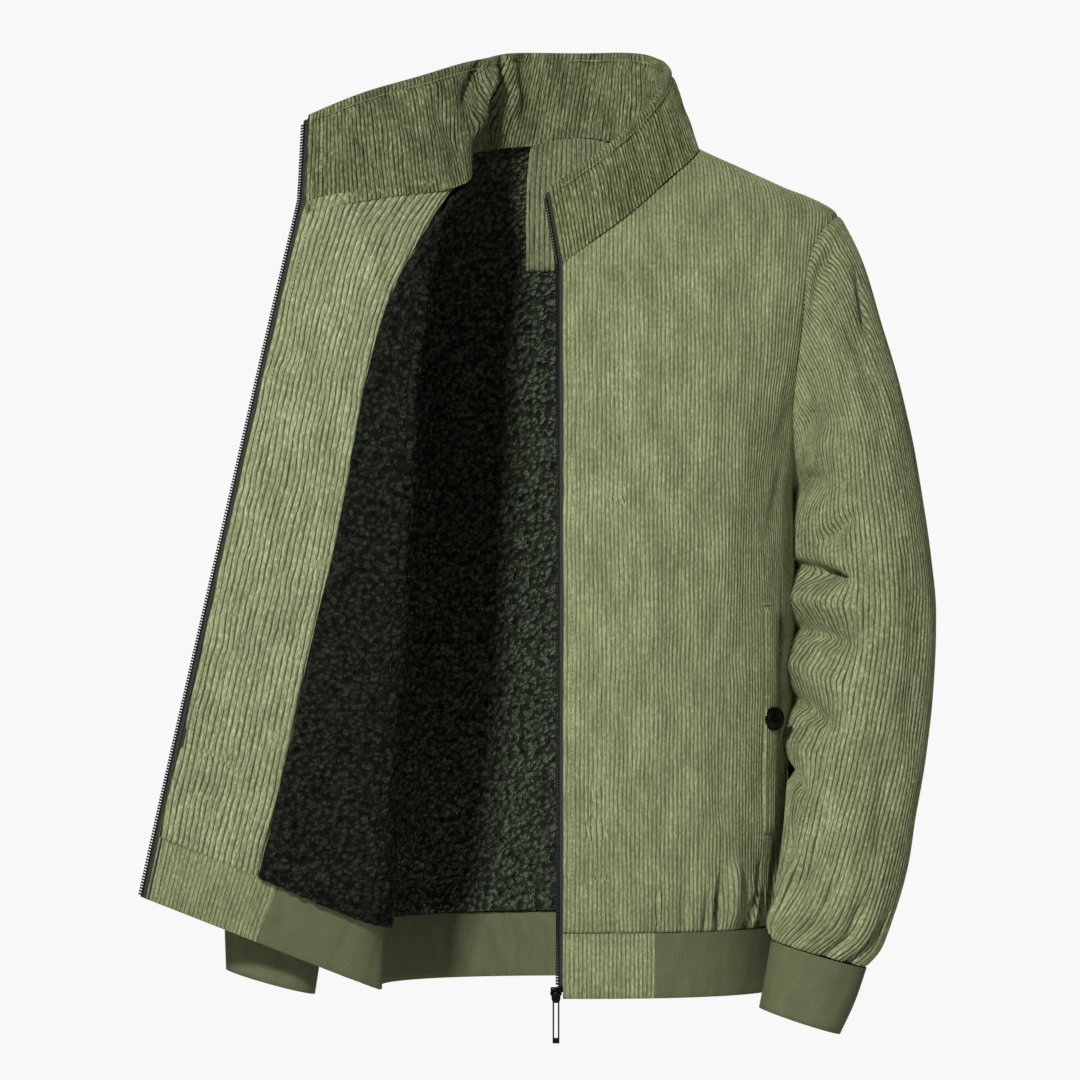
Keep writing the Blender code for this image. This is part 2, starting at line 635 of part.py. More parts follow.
def back_layers():
    """The back panel, its lining and the corduroy patch under the collar."""
    pattern = back_pattern()
    layer("back", back, trimmed(pattern), -1, material(*CORDUROY), 0.0, CLOTH)
    lining = trimmed(pattern)
    layer("lining_back", back, lining, -1, material(*FLEECE), LINING_DEPTH, PILE)
    patch = lining[PATCH_COLUMNS, PATCH_ROWS]
    layer("neck_patch", back, patch, -1, material(*CORDUROY), PATCH_DEPTH, CLOTH)


def sleeves():
    """Both sleeves and their rib cuffs."""
    both = (("left", LEFT_SLEEVE, LEFT_CUFF, 1), ("right", RIGHT_SLEEVE, RIGHT_CUFF, -1))
    for name, rings, cuff, side in both:
        places = np.arange(len(rings), dtype=float)
        places[0] = 3 * SEAM / abs(rings[1].outer_z - rings[0].outer_z)
        tube(f"sleeve_{name}", sleeve_surface(rings, side), places, side, material(*CORDUROY), CLOTH)
        tube(f"cuff_{name}", cuff_surface(cuff), np.linspace(0, 2, 4), side, material(*KNIT), RIB)


def collars():
    """The collar's outside and inside, sewn edge to edge."""
    parts = np.linspace(0, 1, 2 * FRONT_COLUMNS + BACK_COLUMNS + 1)
    foot = 0.012
    grid = np.stack(np.meshgrid(parts, np.linspace(foot, 1, COLLAR_ROWS + 1), indexing="ij"), axis=-1)
    layer("collar_outside", collar, grid, 1, material(*CORDUROY), 0.0, COLLAR_WALL)
    layer("collar_inside", collar, grid, 1, material(*CORDUROY), COLLAR_WALL + SEAM, COLLAR_WALL)


def band_grid(surface, flip, arcs, face, thickness):
    """Outer and inner points of a stretch of the waistband between two shares of its level's arc."""
    z = np.linspace(HEM_Z - SEAM, BAND_Z, 4)
    narrowed = arcs[:, None] * full_arc(z, face) / full_arc(z[:1], face)
    grid = np.stack(np.broadcast_arrays(narrowed, z), axis=-1)
    base = surface(grid[..., 0], grid[..., 1])
    return base, base - outward(surface, grid, flip) * thickness


def waistband():
    """The rib waistband, and its two corduroy ends at the fronts."""
    end = full_arc(np.array(HEM_Z), "front")
    rear = full_arc(np.array(HEM_Z), "back")
    ends = (("left", left_front, 1, BAND_END_LEFT), ("right", open_front, -1, BAND_END_RIGHT))
    for name, surface, flip, stop in ends:
        arcs = np.linspace(ZIP_EDGE + SEAM / 2, stop - SEAM / 2, 4)
        wall(f"band_end_{name}", *band_grid(surface, flip, arcs, "front", RIB), material(*CORDUROY))
    stretches = (
        band_grid(left_front, 1, np.linspace(BAND_END_LEFT + SEAM / 2, end, 8), "front", RIB),
        band_grid(back, -1, np.linspace(rear, -rear, 15)[1:-1], "back", RIB),
        band_grid(open_front, -1, np.linspace(end, BAND_END_RIGHT + SEAM / 2, 10), "front", RIB),
    )
    outer = np.concatenate([stretch[0] for stretch in stretches])
    inner = np.concatenate([stretch[1] for stretch in stretches])
    wall("waist_rib", outer, inner, material(*KNIT))


def arc_of_x(x, z):
    """Length along the cloth at which a front reaches a distance from the body's middle line."""
    across, _, along = quarter(np.array(z), "front")
    return float(np.interp(x, across, along))


def turned_to(normal):
    """The turn that takes +Z to a direction."""
    return Vector(normal).to_track_quat("Z", "Y")


def pockets():
    """A welt with its snap button on each front."""
    places = (("left", left_front, 1, POCKET_X, POCKET_LIFT),
              ("right", open_front, -1, POCKET_X_RIGHT, 3 * POCKET_LIFT))
    for name, surface, flip, near_x, lift in places:
        z = np.linspace(POCKET_BOTTOM_Z, POCKET_TOP_Z, 7)
        start = np.array([arc_of_x(near_x, level) for level in z])
        arcs = start[None, :] + np.linspace(0, POCKET_WIDTH, 4)[:, None]
        grid = np.stack(np.broadcast_arrays(arcs, z[None, :]), axis=-1)
        base, normal = surface(grid[..., 0], grid[..., 1]), outward(surface, grid, flip)
        wall(f"welt_{name}", base + normal * (lift + WELT), base + normal * lift, material(*CORDUROY))
        spot = np.array([[[arc_of_x(near_x, BUTTON_Z) + POCKET_WIDTH / 2, BUTTON_Z]]])
        centre, facing = surface(spot[..., 0], spot[..., 1])[0, 0], outward(surface, spot, flip)[0, 0]
        seat = lift + WELT + 2 * SEAM
        snap = bmesh.new()
        bmesh.ops.create_cone(snap, cap_ends=True, segments=16, depth=BUTTON_HEIGHT,
                              radius1=BUTTON_RADIUS, radius2=BUTTON_RADIUS)
        rim = [edge for edge in snap.edges if all(vert.co.z > 0 for vert in edge.verts)]
        bmesh.ops.bevel(snap, geom=rim, offset=1.5 * MM, segments=1, profile=0.5, affect="EDGES")
        button = finish(f"button_{name}", snap, material(*SNAP))
        button.rotation_mode = "QUATERNION"
        button.rotation_quaternion = turned_to(facing)
        button.location = centre + facing * (seat + BUTTON_HEIGHT / 2)


def zip_strip(name, edge, inwards, normal):
    """A zip tape with its teeth: a narrow wall outside a front's edge."""
    side = inwards / np.linalg.norm(inwards, axis=-1, keepdims=True)
    outer = np.stack([edge - side * 2 * SEAM, edge - side * (2 * SEAM + ZIP_WIDTH)])
    wall(name, outer, outer - normal[None] * ZIP_THICKNESS, material(*TAPE))


def zips():
    """The two zip halves, from the waistband up the fronts and the collar's ends."""
    for name, surface, flip, part in (("left", left_front, 1, 0.0), ("right", open_front, -1, 1.0)):
        low = SLIDER_TOP_Z + SEAM if name == "left" else BAND_Z
        z = np.linspace(low, NECK_FRONT_Z, 20)
        front = np.stack([np.full_like(z, ZIP_EDGE), z], axis=-1)[None]
        rise = np.linspace(0.1, 0.95, 4)
        upper = np.stack([np.full_like(rise, part), rise], axis=-1)[None]
        inward_part = 0.01 if part == 0 else -0.01
        edge = np.concatenate([surface(front[..., 0], front[..., 1])[0],
                               collar(upper[..., 0], upper[..., 1])[0]])
        inner = np.concatenate([surface(front[..., 0] + 0.004, front[..., 1])[0],
                                collar(upper[..., 0] + inward_part, upper[..., 1])[0]])
        near = upper + np.array([inward_part, 0.0])
        normal = np.concatenate([outward(surface, front, flip)[0], outward(collar, near, 1)[0]])
        zip_strip(f"zip_{name}", edge, inner - edge, normal)


def box(name, size, centre, look, parent=None, round_by=0.5 * MM):
    """A block with softened edges."""
    block = bmesh.new()
    bmesh.ops.create_cube(block, size=1.0)
    bmesh.ops.scale(block, vec=size, verts=block.verts)
    bmesh.ops.translate(block, vec=centre, verts=block.verts)
    if round_by:
        bmesh.ops.bevel(block, geom=list(block.edges), offset=round_by, segments=1, profile=0.5,
                        affect="EDGES")
    return finish(name, block, look, parent)


def rod(name, radius, length, centre, look, segments=16):
    """A round bar along X."""
    bar = bmesh.new()
    bmesh.ops.create_cone(bar, cap_ends=True, segments=segments, depth=length,
                          radius1=radius, radius2=radius)
    for vert in bar.verts:
        vert.co = (vert.co.z + centre[0], vert.co.x + centre[1], vert.co.y + centre[2])
    return finish(name, bar, look)


def combine(target, other, operation):
    """Joins or cuts a piece with a helper, which moves to the cutters."""
    change = target.modifiers.new(other.name, "BOOLEAN")
    change.operation = operation
    change.object = other
    bpy.data.collections[COLLECTION].objects.unlink(other)
    bpy.data.collections[CUTTERS].objects.link(other)
    other.hide_render = True
    other.display_type = "WIRE"


def slider():
    """The zip slider with its cross pin, and the pull that swings on the pin."""
    metal = material(*METAL)
    z = SLIDER_TOP_Z - SLIDER_HEIGHT / 2
    foot = left_front(ZIP_EDGE - 2 * SEAM - ZIP_WIDTH / 2 - SLIDER_ASIDE, z)
    front_y = foot[1] - 1.0 * MM
    body = box("slider", (SLIDER_WIDTH, SLIDER_DEPTH, SLIDER_HEIGHT),
               (foot[0], front_y + SLIDER_DEPTH / 2, z), metal)
    pin = (foot[0], front_y - PIN_FORWARD, z + 1.0 * MM)
    lug_depth = PIN_FORWARD + LUG_OVERLAP
    for side in (-1, 1):
        centre = (foot[0] + side * (PULL_WIDTH / 2 + LUG_ASIDE),
                  front_y - PIN_FORWARD + (lug_depth - LUG_OVERLAP) / 2, pin[2])
        lug = box(f"lug_{side + 1}", (LUG_WIDTH, lug_depth, LUG_HEIGHT), centre, metal, round_by=0)
        combine(body, lug, "UNION")
    combine(body, rod("pin", PIN_RADIUS, PULL_WIDTH + 3.0 * MM, pin, metal), "UNION")
    axis = bpy.data.objects.new("pull_axis", None)
    axis.location = pin
    bpy.data.collections[COLLECTION].objects.link(axis)
    eye = PIN_RADIUS + PIN_CLEARANCE
    drop = PULL_LENGTH - eye - PULL_EYE
    pull = box("pull", (PULL_WIDTH, PULL_THICKNESS, PULL_LENGTH), (0, 0, eye + PULL_EYE - PULL_LENGTH / 2),
               metal, parent=axis, round_by=0)
    thick = rod("eye_boss", eye + 1.0 * MM, PULL_WIDTH, (0, 0, 0), metal)
    hole = rod("eye_hole", eye, PULL_WIDTH + 2 * MM, (0, 0, 0), metal)
    slot = box("slot", (SLOT_WIDTH, 3 * PULL_THICKNESS, drop - 10 * MM), (0, 0, -(drop + 8 * MM) / 2),
               metal, round_by=0)
    for helper in (thick, hole, slot):
        helper.parent = axis
    combine(pull, thick, "UNION")
    combine(pull, hole, "DIFFERENCE")
    combine(pull, slot, "DIFFERENCE")


def main():
    clear_scene()
    front_layers("left", left_front, 1, slack=0.0)
    front_layers("right", open_front, -1, slack=1.6 * MM)
    back_layers()
    sleeves()
    collars()
    waistband()
    pockets()
    zips()
    slider()


if __name__ == "__main__":
    main()
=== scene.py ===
"""Corduroy jacket with a pile lining, filled out as if worn, its right front open: the finished surfaces.

Every cloth piece is drawn in its flat pattern, in metres across and up the cloth, and laid on the form that
the jacket takes when it is worn. Wales, puckers and creases are real relief on that form.
"""

import json
import logging
import math
from dataclasses import dataclass, field
from enum import Enum
from typing import Callable, Sequence

import bmesh
import bpy
import numpy as np
from mathutils import Matrix, Vector


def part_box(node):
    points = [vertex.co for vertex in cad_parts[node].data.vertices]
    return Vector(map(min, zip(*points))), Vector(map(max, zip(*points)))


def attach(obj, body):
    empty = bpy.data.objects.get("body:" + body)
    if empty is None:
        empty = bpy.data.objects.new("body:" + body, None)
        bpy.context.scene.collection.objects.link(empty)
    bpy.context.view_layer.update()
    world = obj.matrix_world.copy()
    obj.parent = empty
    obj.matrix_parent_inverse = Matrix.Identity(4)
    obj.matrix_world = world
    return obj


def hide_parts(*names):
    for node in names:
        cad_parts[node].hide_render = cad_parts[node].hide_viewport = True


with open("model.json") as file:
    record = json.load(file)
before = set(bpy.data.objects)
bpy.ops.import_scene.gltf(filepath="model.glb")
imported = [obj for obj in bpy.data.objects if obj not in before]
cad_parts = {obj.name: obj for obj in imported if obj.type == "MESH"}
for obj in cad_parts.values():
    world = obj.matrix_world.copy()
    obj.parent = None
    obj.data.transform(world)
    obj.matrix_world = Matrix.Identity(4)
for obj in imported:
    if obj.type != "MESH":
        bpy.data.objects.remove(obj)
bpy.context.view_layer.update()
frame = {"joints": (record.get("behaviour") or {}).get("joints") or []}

LOG = logging.getLogger("jacket")
MM = 0.001
BODY_NAME = "jacket"
FINE_ROWS = (0.0022, 0.0055, 0.010)  # extra rows near a panel's ends, as shares of its height
TINY = 1e-7  # two lengths nearer than this are the same

Array = np.ndarray
Pair = tuple[float, float]
Triple = tuple[float, float, float]
Surface = Callable[[Array, Array], Array]  # lays pattern places in space
Edge = Callable[[Array], Array]  # an edge's lengths at heights
Maker = bmesh.types.BMesh
Socket = bpy.types.NodeSocket


# ---------------- form of the worn jacket
@dataclass(frozen=True)
class Level:
    """One level cut through the jacket's body."""

    z: float
    half_width: float
    front: float
    back: float
    squareness: float


@dataclass(frozen=True)
class Ring:
    """One ring of a sleeve: its outermost and innermost points and its size from front to back."""

    outer_x: float
    outer_z: float
    inner_x: float
    inner_z: float
    middle_y: float
    half_depth: float


@dataclass(frozen=True)
class OpenEdge:
    """Where the open right front lies, for one height on its closed self."""

    z: float
    edge_x: float
    edge_y: float
    edge_z: float
    roll: float


@dataclass(frozen=True)
class TopEdge:
    """One point of the collar's top edge, evenly counted along it."""

    place: float
    x: float
    y: float
    z: float


@dataclass(frozen=True)
class FacingWidth:
    """Width of the front facing at a part of the panel's height."""

    part: float
    width: float


class Face(Enum):
    """Which half of the body's outline a point lies on."""

    FRONT = "front"
    BACK = "back"


BODY_LEVELS = (
    Level(-0.7, 0.163, 0.124, 0.112, 2.3), Level(-0.682, 0.163, 0.125, 0.114, 2.3),
    Level(-0.63, 0.165, 0.131, 0.122, 2.3), Level(-0.6, 0.169, 0.143, 0.137, 2.3),
    Level(-0.54, 0.169, 0.147, 0.142, 2.4), Level(-0.42, 0.17, 0.149, 0.142, 2.5),
    Level(-0.3, 0.17, 0.149, 0.142, 2.5), Level(-0.25, 0.174, 0.145, 0.142, 2.5),
    Level(-0.2, 0.185, 0.136, 0.14, 2.4), Level(-0.15, 0.199, 0.118, 0.134, 2.4),
    Level(-0.1, 0.209, 0.093, 0.12, 2.3), Level(-0.058, 0.211, 0.069, 0.102, 2.2),
    Level(-0.03, 0.158, 0.048, 0.088, 2.1), Level(0.0, 0.096, 0.03, 0.072, 2.0),
    Level(0.013, 0.07, 0.022, 0.064, 2.0),
)
LEFT_RINGS = (
    Ring(0.219, -0.058, 0.18, -0.272, 0.0, 0.062), Ring(0.238, -0.094, 0.183, -0.277, 0.0, 0.067),
    Ring(0.2545, -0.141, 0.1845, -0.283, 0.001, 0.071), Ring(0.269, -0.19, 0.1855, -0.291, 0.002, 0.074),
    Ring(0.28, -0.24, 0.1865, -0.303, 0.002, 0.075), Ring(0.288, -0.288, 0.1885, -0.322, 0.001, 0.075),
    Ring(0.2945, -0.333, 0.192, -0.348, -0.001, 0.074), Ring(0.2985, -0.378, 0.1925, -0.38, -0.004, 0.072),
    Ring(0.297, -0.424, 0.189, -0.417, -0.012, 0.069), Ring(0.2925, -0.47, 0.1845, -0.456, -0.026, 0.065),
    Ring(0.285, -0.515, 0.18, -0.495, -0.047, 0.061), Ring(0.275, -0.56, 0.1755, -0.533, -0.068, 0.057),
    Ring(0.264, -0.603, 0.17, -0.572, -0.086, 0.053), Ring(0.2515, -0.64, 0.164, -0.606, -0.099, 0.047),
    Ring(0.237, -0.658, 0.161, -0.636, -0.106, 0.036),
)
LEFT_CUFF_RINGS = (
    Ring(0.2366, -0.6585, 0.1609, -0.6366, -0.1062, 0.0356),
    Ring(0.227, -0.685, 0.156, -0.664, -0.112, 0.031), Ring(0.215, -0.71, 0.151, -0.689, -0.116, 0.029),
)
RIGHT_RINGS = (
    Ring(-0.203, -0.058, -0.164, -0.272, 0.0, 0.062), Ring(-0.213, -0.094, -0.167, -0.277, 0.004, 0.066),
    Ring(-0.223, -0.141, -0.169, -0.284, 0.01, 0.069), Ring(-0.232, -0.19, -0.1705, -0.293, 0.016, 0.071),
    Ring(-0.24, -0.24, -0.172, -0.305, 0.021, 0.072), Ring(-0.2475, -0.288, -0.174, -0.324, 0.025, 0.072),
    Ring(-0.254, -0.333, -0.176, -0.35, 0.027, 0.072), Ring(-0.26, -0.378, -0.178, -0.383, 0.028, 0.07),
    Ring(-0.265, -0.424, -0.18, -0.422, 0.028, 0.067), Ring(-0.2695, -0.468, -0.1825, -0.462, 0.026, 0.063),
    Ring(-0.2735, -0.51, -0.185, -0.501, 0.022, 0.059), Ring(-0.277, -0.548, -0.188, -0.538, 0.016, 0.055),
    Ring(-0.28, -0.58, -0.1915, -0.572, 0.008, 0.05), Ring(-0.281, -0.602, -0.1945, -0.602, 0.0, 0.044),
    Ring(-0.278, -0.616, -0.197, -0.63, -0.004, 0.036),
)
RIGHT_CUFF_RINGS = (
    Ring(-0.2778, -0.6166, -0.1971, -0.6306, -0.0041, 0.0356),
    Ring(-0.277, -0.643, -0.2, -0.66, -0.007, 0.031), Ring(-0.276, -0.667, -0.204, -0.687, -0.009, 0.029),
)
OPEN_FRONT = (
    OpenEdge(-0.7, -0.339, -0.112, -0.621, 0.206), OpenEdge(-0.682, -0.335, -0.112, -0.603, 0.202),
    OpenEdge(-0.63, -0.324, -0.112, -0.554, 0.185), OpenEdge(-0.39, -0.272, -0.117, -0.328, 0.152),
    OpenEdge(-0.1, -0.209, -0.105, -0.052, 0.118), OpenEdge(-0.05, -0.198, -0.102, -0.007, 0.1),
    OpenEdge(0.0, -0.187, -0.098, 0.038, 0.07),
)
COLLAR_TOP = (
    TopEdge(0, -0.015, -0.094, -0.04), TopEdge(1, 0.028, -0.088, -0.01), TopEdge(2, 0.061, -0.064, 0.021),
    TopEdge(3, 0.082, -0.022, 0.056), TopEdge(4, 0.074, 0.028, 0.074), TopEdge(5, 0.038, 0.06, 0.08),
    TopEdge(6, -0.012, 0.066, 0.08), TopEdge(7, -0.052, 0.046, 0.078), TopEdge(8, -0.08, 0.002, 0.068),
    TopEdge(9, -0.12, -0.038, 0.052), TopEdge(10, -0.165, -0.072, 0.036), TopEdge(11, -0.207, -0.098, 0.017),
)
FACING_WIDTHS = (
    FacingWidth(0.0, 0.078), FacingWidth(0.25, 0.079), FacingWidth(0.5, 0.082), FacingWidth(0.75, 0.086),
    FacingWidth(0.9, 0.096), FacingWidth(1.0, 0.104),
)


def smooth_column(rows: Sequence[object], name: str, key: str, at: Array) -> Array:
    """Reads one named column of a table at any place, joined smoothly.

    Args:
        rows: the table's rows.
        name: the column to read.
        key: the column that says where each row is.
        at: the places to read.

    Returns:
        The column's values at those places.
    """
    ordered = sorted(rows, key=lambda row: getattr(row, key))
    x = np.array([getattr(row, key) for row in ordered], float)
    y = np.array([getattr(row, name) for row in ordered], float)
    run = np.diff(x)
    rise = np.diff(y) / run
    slope = np.concatenate([rise[:1], (rise[1:] + rise[:-1]) / 2, rise[-1:]])
    turns = rise[1:] * rise[:-1] <= 0
    slope[1:-1][turns] = 0.0
    at = np.clip(np.asarray(at, float), x[0], x[-1])
    k = np.clip(np.searchsorted(x, at) - 1, 0, len(x) - 2)
    t = (at - x[k]) / run[k]
    curve = y[k] * (1 + 2 * t) * (1 - t) ** 2 + y[k + 1] * t * t * (3 - 2 * t)
    return curve + run[k] * (slope[k] * t * (1 - t) ** 2 + slope[k + 1] * t * t * (t - 1))


def matched(a: Array, b: Array) -> list[Array]:
    """Two arrays of numbers brought to one shape."""
    return np.broadcast_arrays(np.asarray(a, float), np.asarray(b, float))


def read_line(at: Array, known: Array, values: Array) -> Array:
    """Reads a line of points or directions at any place along it.

    Args:
        at: the places to read.
        known: the place of each row of the values.
        values: rows of X, Y and Z.

    Returns:
        The values at those places.
    """
    return np.stack([np.interp(at, known, values[:, axis]) for axis in range(3)], axis=-1)


def run_length(points: Array, axis: int) -> Array:
    """Measures along the cloth in one direction of a grid or line of points.

    Args:
        points: the points, X, Y and Z last.
        axis: the direction to measure in.

    Returns:
        Each point's distance from the first row or column.
    """
    steps = np.linalg.norm(np.diff(points, axis=axis), axis=-1)
    zero = np.zeros_like(np.take(steps, [0], axis=axis))
    return np.concatenate([zero, np.cumsum(steps, axis=axis)], axis=axis)


def along(path: Array, at: Array) -> Array:
    """Finds points at shares of a path's length.

    Args:
        path: the path's points.
        at: shares of its length.

    Returns:
        The points at those shares.
    """
    length = run_length(path, 0)
    return read_line(np.asarray(at) * length[-1], length, path)


@dataclass(frozen=True)
class BodyForm:
    """The worn jacket's form, and the flat patterns that lie on it.

    A pattern place is a length along the cloth from the front or back middle line ("arc") and a height ("z").

    Attributes:
        zip_edge: the front edge's arc.
        roll_smoothing: how far each way the open front's fold is averaged.
        roll_reach: how far from the fold that reaches, in smoothings.
        roll_share: the most of the cloth left up to the side that it takes.
        side_margin: cloth at the side that the fold leaves alone.
        wide_z: heights where a panel may be widest, apart from the underarm.
        arc_samples: turns at which a level is measured.
    """

    centre_x: float = 0.008
    hem_z: float = -0.63
    band_z: float = -0.682
    neck_front_z: float = -0.1
    neck_side_z: float = 0.0
    neck_back_z: float = 0.013
    neck_hollow: float = 0.004
    zip_edge: float = -0.012
    arm_top_z: float = -0.058
    arm_bottom_z: float = -0.272
    arm_half_depth: float = 0.062
    roll_smoothing: float = 0.03
    roll_reach: float = 3.2
    roll_share: float = 0.6
    side_margin: float = 0.004
    wide_z: Pair = (-0.42, -0.25)
    arc_samples: Array = field(default_factory=lambda: np.linspace(0.0, math.pi / 2, 41))

    def quarter(self, z: Array, face: Face) -> tuple[Array, Array, Array]:
        """Draws quarter outlines at levels.

        Args:
            z: heights.
            face: front or back.

        Returns:
            Places across, places away from the middle and the length up to each.
        """
        half = smooth_column(BODY_LEVELS, "half_width", "z", z)[..., None]
        depth = smooth_column(BODY_LEVELS, face.value, "z", z)[..., None]
        power = 2 / smooth_column(BODY_LEVELS, "squareness", "z", z)[..., None]
        across = half * np.sin(self.arc_samples) ** power
        away = depth * np.abs(np.cos(self.arc_samples)) ** power
        steps = np.hypot(np.diff(across), np.diff(away))
        length = np.concatenate([np.zeros_like(steps[..., :1]), np.cumsum(steps, axis=-1)], axis=-1)
        return across, away, length

    def full_arc(self, z: Array, face: Face) -> Array:
        """Length from the middle line to the side at levels."""
        return self.quarter(np.asarray(z, float), face)[2][..., -1]

    def widest_arc(self, face: Face) -> float:
        """The longest length from the middle line to the side."""
        return float(self.full_arc(np.array([self.arm_bottom_z, *self.wide_z]), face).max())

    def on_body(self, arc: Array, z: Array, side: int, face: Face) -> Array:
        """Lays pattern places on the closed jacket.

        Args:
            arc, z: pattern places.
            side: 1 where a positive length runs to the wearer's left, -1 to the right.
            face: front or back.

        Returns:
            Points of the outer face. Past the side seam they run straight away from the body.
        """
        across, away, length = self.quarter(z, face)
        target = np.abs(arc)
        over = np.maximum(target - length[..., -1], 0.0)
        target = np.minimum(target, length[..., -1])[..., None]
        k = np.clip((length < target).sum(axis=-1) - 1, 0, len(self.arc_samples) - 2)[..., None]
        low, high = np.take_along_axis(length, k, -1), np.take_along_axis(length, k + 1, -1)
        t = (target - low) / np.maximum(high - low, 1e-9)
        x = (np.take_along_axis(across, k, -1) * (1 - t) + np.take_along_axis(across, k + 1, -1) * t)[..., 0]
        y = (np.take_along_axis(away, k, -1) * (1 - t) + np.take_along_axis(away, k + 1, -1) * t)[..., 0]
        sign = -1.0 if face is Face.FRONT else 1.0
        x = self.centre_x + side * np.sign(arc + 1e-12) * x
        return np.stack([x, sign * (y - over), np.broadcast_to(z, x.shape)], axis=-1)

    def left_front(self, arc: Array, z: Array) -> Array:
        """The left front's outer face."""
        arc, z = matched(arc, z)
        return self.on_body(arc, z, 1, Face.FRONT)

    def back(self, arc: Array, z: Array) -> Array:
        """The back's outer face, from the wearer's right (negative) to the left."""
        arc, z = matched(arc, z)
        return self.on_body(arc, z, 1, Face.BACK)

    def roll_arc(self, z: Array) -> Array:
        """Length from the middle line to the fold of the open front."""
        return self.zip_edge + smooth_column(OPEN_FRONT, "roll", "z", z)

    def open_raw(self, arc: Array, z: Array) -> Array:
        """Lays pattern places on the open front, with a sharp fold.

        Args:
            arc, z: pattern places.

        Returns:
            Points of the outer face.
        """
        roll = self.roll_arc(z)
        fold = self.on_body(roll, z, -1, Face.FRONT)
        edge = np.stack([smooth_column(OPEN_FRONT, f"edge_{axis}", "z", z) for axis in "xyz"], axis=-1)
        part = ((roll - arc) / (roll - self.zip_edge))[..., None]
        kept = self.on_body(np.maximum(arc, roll), z, -1, Face.FRONT)
        return np.where(part > 0, fold + (edge - fold) * part, kept)

    def right_front(self, arc: Array, z: Array) -> Array:
        """Lays pattern places on the right front, folded back about a soft roll.

        Args:
            arc, z: pattern places.

        Returns:
            Points of the outer face.
        """
        arc, z = matched(arc, z)
        near = 1 - ((arc - self.roll_arc(z)) / (self.roll_reach * self.roll_smoothing)) ** 2
        reach = self.roll_smoothing * np.maximum(0.0, near)
        left = np.maximum(0.0, self.full_arc(z, Face.FRONT) - self.side_margin - arc)
        reach = np.minimum(reach, self.roll_share * left)
        steps = np.linspace(-1.0, 1.0, 7)
        return sum(self.open_raw(arc + step * reach, z) for step in steps) / len(steps)

    def front(self, side: int) -> Surface:
        """One front's outer face: 1 for the left, -1 for the right."""
        return self.left_front if side > 0 else self.right_front

    def neck_line(self, part: Array) -> tuple[Array, Array]:
        """Draws a front's neck seam in the pattern.

        Args:
            part: shares of the way from the front edge to the shoulder.

        Returns:
            Lengths and heights.
        """
        end = self.full_arc(np.array(self.neck_side_z), Face.FRONT)
        arc = self.zip_edge + (end - self.zip_edge) * part
        z = self.neck_front_z + (self.neck_side_z - self.neck_front_z) * part
        return arc, z - self.neck_hollow * np.sin(math.pi * part)

    def back_neck_line(self, part: Array) -> tuple[Array, Array]:
        """The back's neck seam in the pattern, part -1 at the right shoulder and 1 at the left."""
        end = self.full_arc(np.array(self.neck_side_z), Face.BACK)
        return end * part, self.neck_back_z + (self.neck_side_z - self.neck_back_z) * part**2

    def neck_seam(self) -> Array:
        """Draws the collar's seam.

        Returns:
            Points from the left front edge round to the right front edge.
        """
        part = np.linspace(0, 1, 25)
        left = self.left_front(*self.neck_line(part))
        behind = self.back(*self.back_neck_line(np.linspace(1, -1, 41)))
        right = self.right_front(*self.neck_line(part[::-1]))
        return np.concatenate([left, behind[1:-1], right])

    def armhole(self, face: Face, count: int) -> tuple[Array, Array]:
        """Draws the armhole in the pattern, from the underarm to the shoulder tip.

        Args:
            face: front or back.
            count: how many places to draw.

        Returns:
            Lengths and heights.
        """
        middle = (self.arm_top_z + self.arm_bottom_z) / 2
        half = (self.arm_top_z - self.arm_bottom_z) / 2
        turn = np.linspace(0.0, math.pi, count)
        z = middle - half * np.cos(turn)
        depth = smooth_column(BODY_LEVELS, face.value, "z", z)
        power = smooth_column(BODY_LEVELS, "squareness", "z", z) / 2
        angle = np.arccos(np.clip(self.arm_half_depth * np.sin(turn) / depth, 0, 1) ** power)
        arcs = self.quarter(z, face)[2]
        arc = np.array([np.interp(a, self.arc_samples, row) for a, row in zip(angle, arcs)])
        return arc, z

    def armhole_loop(self, side: int, turn: Array) -> Array:
        """Finds the armhole seam in space.

        Args:
            side: 1 for the left, -1 for the right.
            turn: turns about the seam: 0 at the shoulder tip, a quarter at its front.

        Returns:
            The seam's points.
        """
        count = 33
        half = np.linspace(0.0, math.pi, count)
        halves = []
        for face in (Face.FRONT, Face.BACK):
            arc, z = self.armhole(face, count)
            halves.append(self.on_body(arc[::-1], z[::-1], side, face))
        loop = np.concatenate([halves[0], halves[1][-2::-1]])
        turns = np.concatenate([half, 2 * math.pi - half[-2::-1]])
        return read_line(turn, turns, loop)

    def side_arc(self, z: Array, face: Face) -> Array:
        """Finds a panel's side edge: side seam, armhole, then shoulder seam.

        Args:
            z: heights.
            face: front or back.

        Returns:
            The edge's lengths from the middle line.
        """
        hole_arc, hole_z = self.armhole(face, 41)
        inside = (z > self.arm_bottom_z) & (z < self.arm_top_z)
        return np.where(inside, np.interp(z, hole_z, hole_arc), self.full_arc(z, face))

    def neck_height(self, arc: Array, face: Face) -> Array:
        """Finds how high a panel reaches: its neck seam.

        Args:
            arc: lengths from the middle line.
            face: front or back.

        Returns:
            The neck seam's heights.
        """
        part = np.linspace(0, 1, 41)
        if face is Face.BACK:
            return np.interp(np.abs(arc), *self.back_neck_line(part))
        return np.interp(arc, *self.neck_line(part))

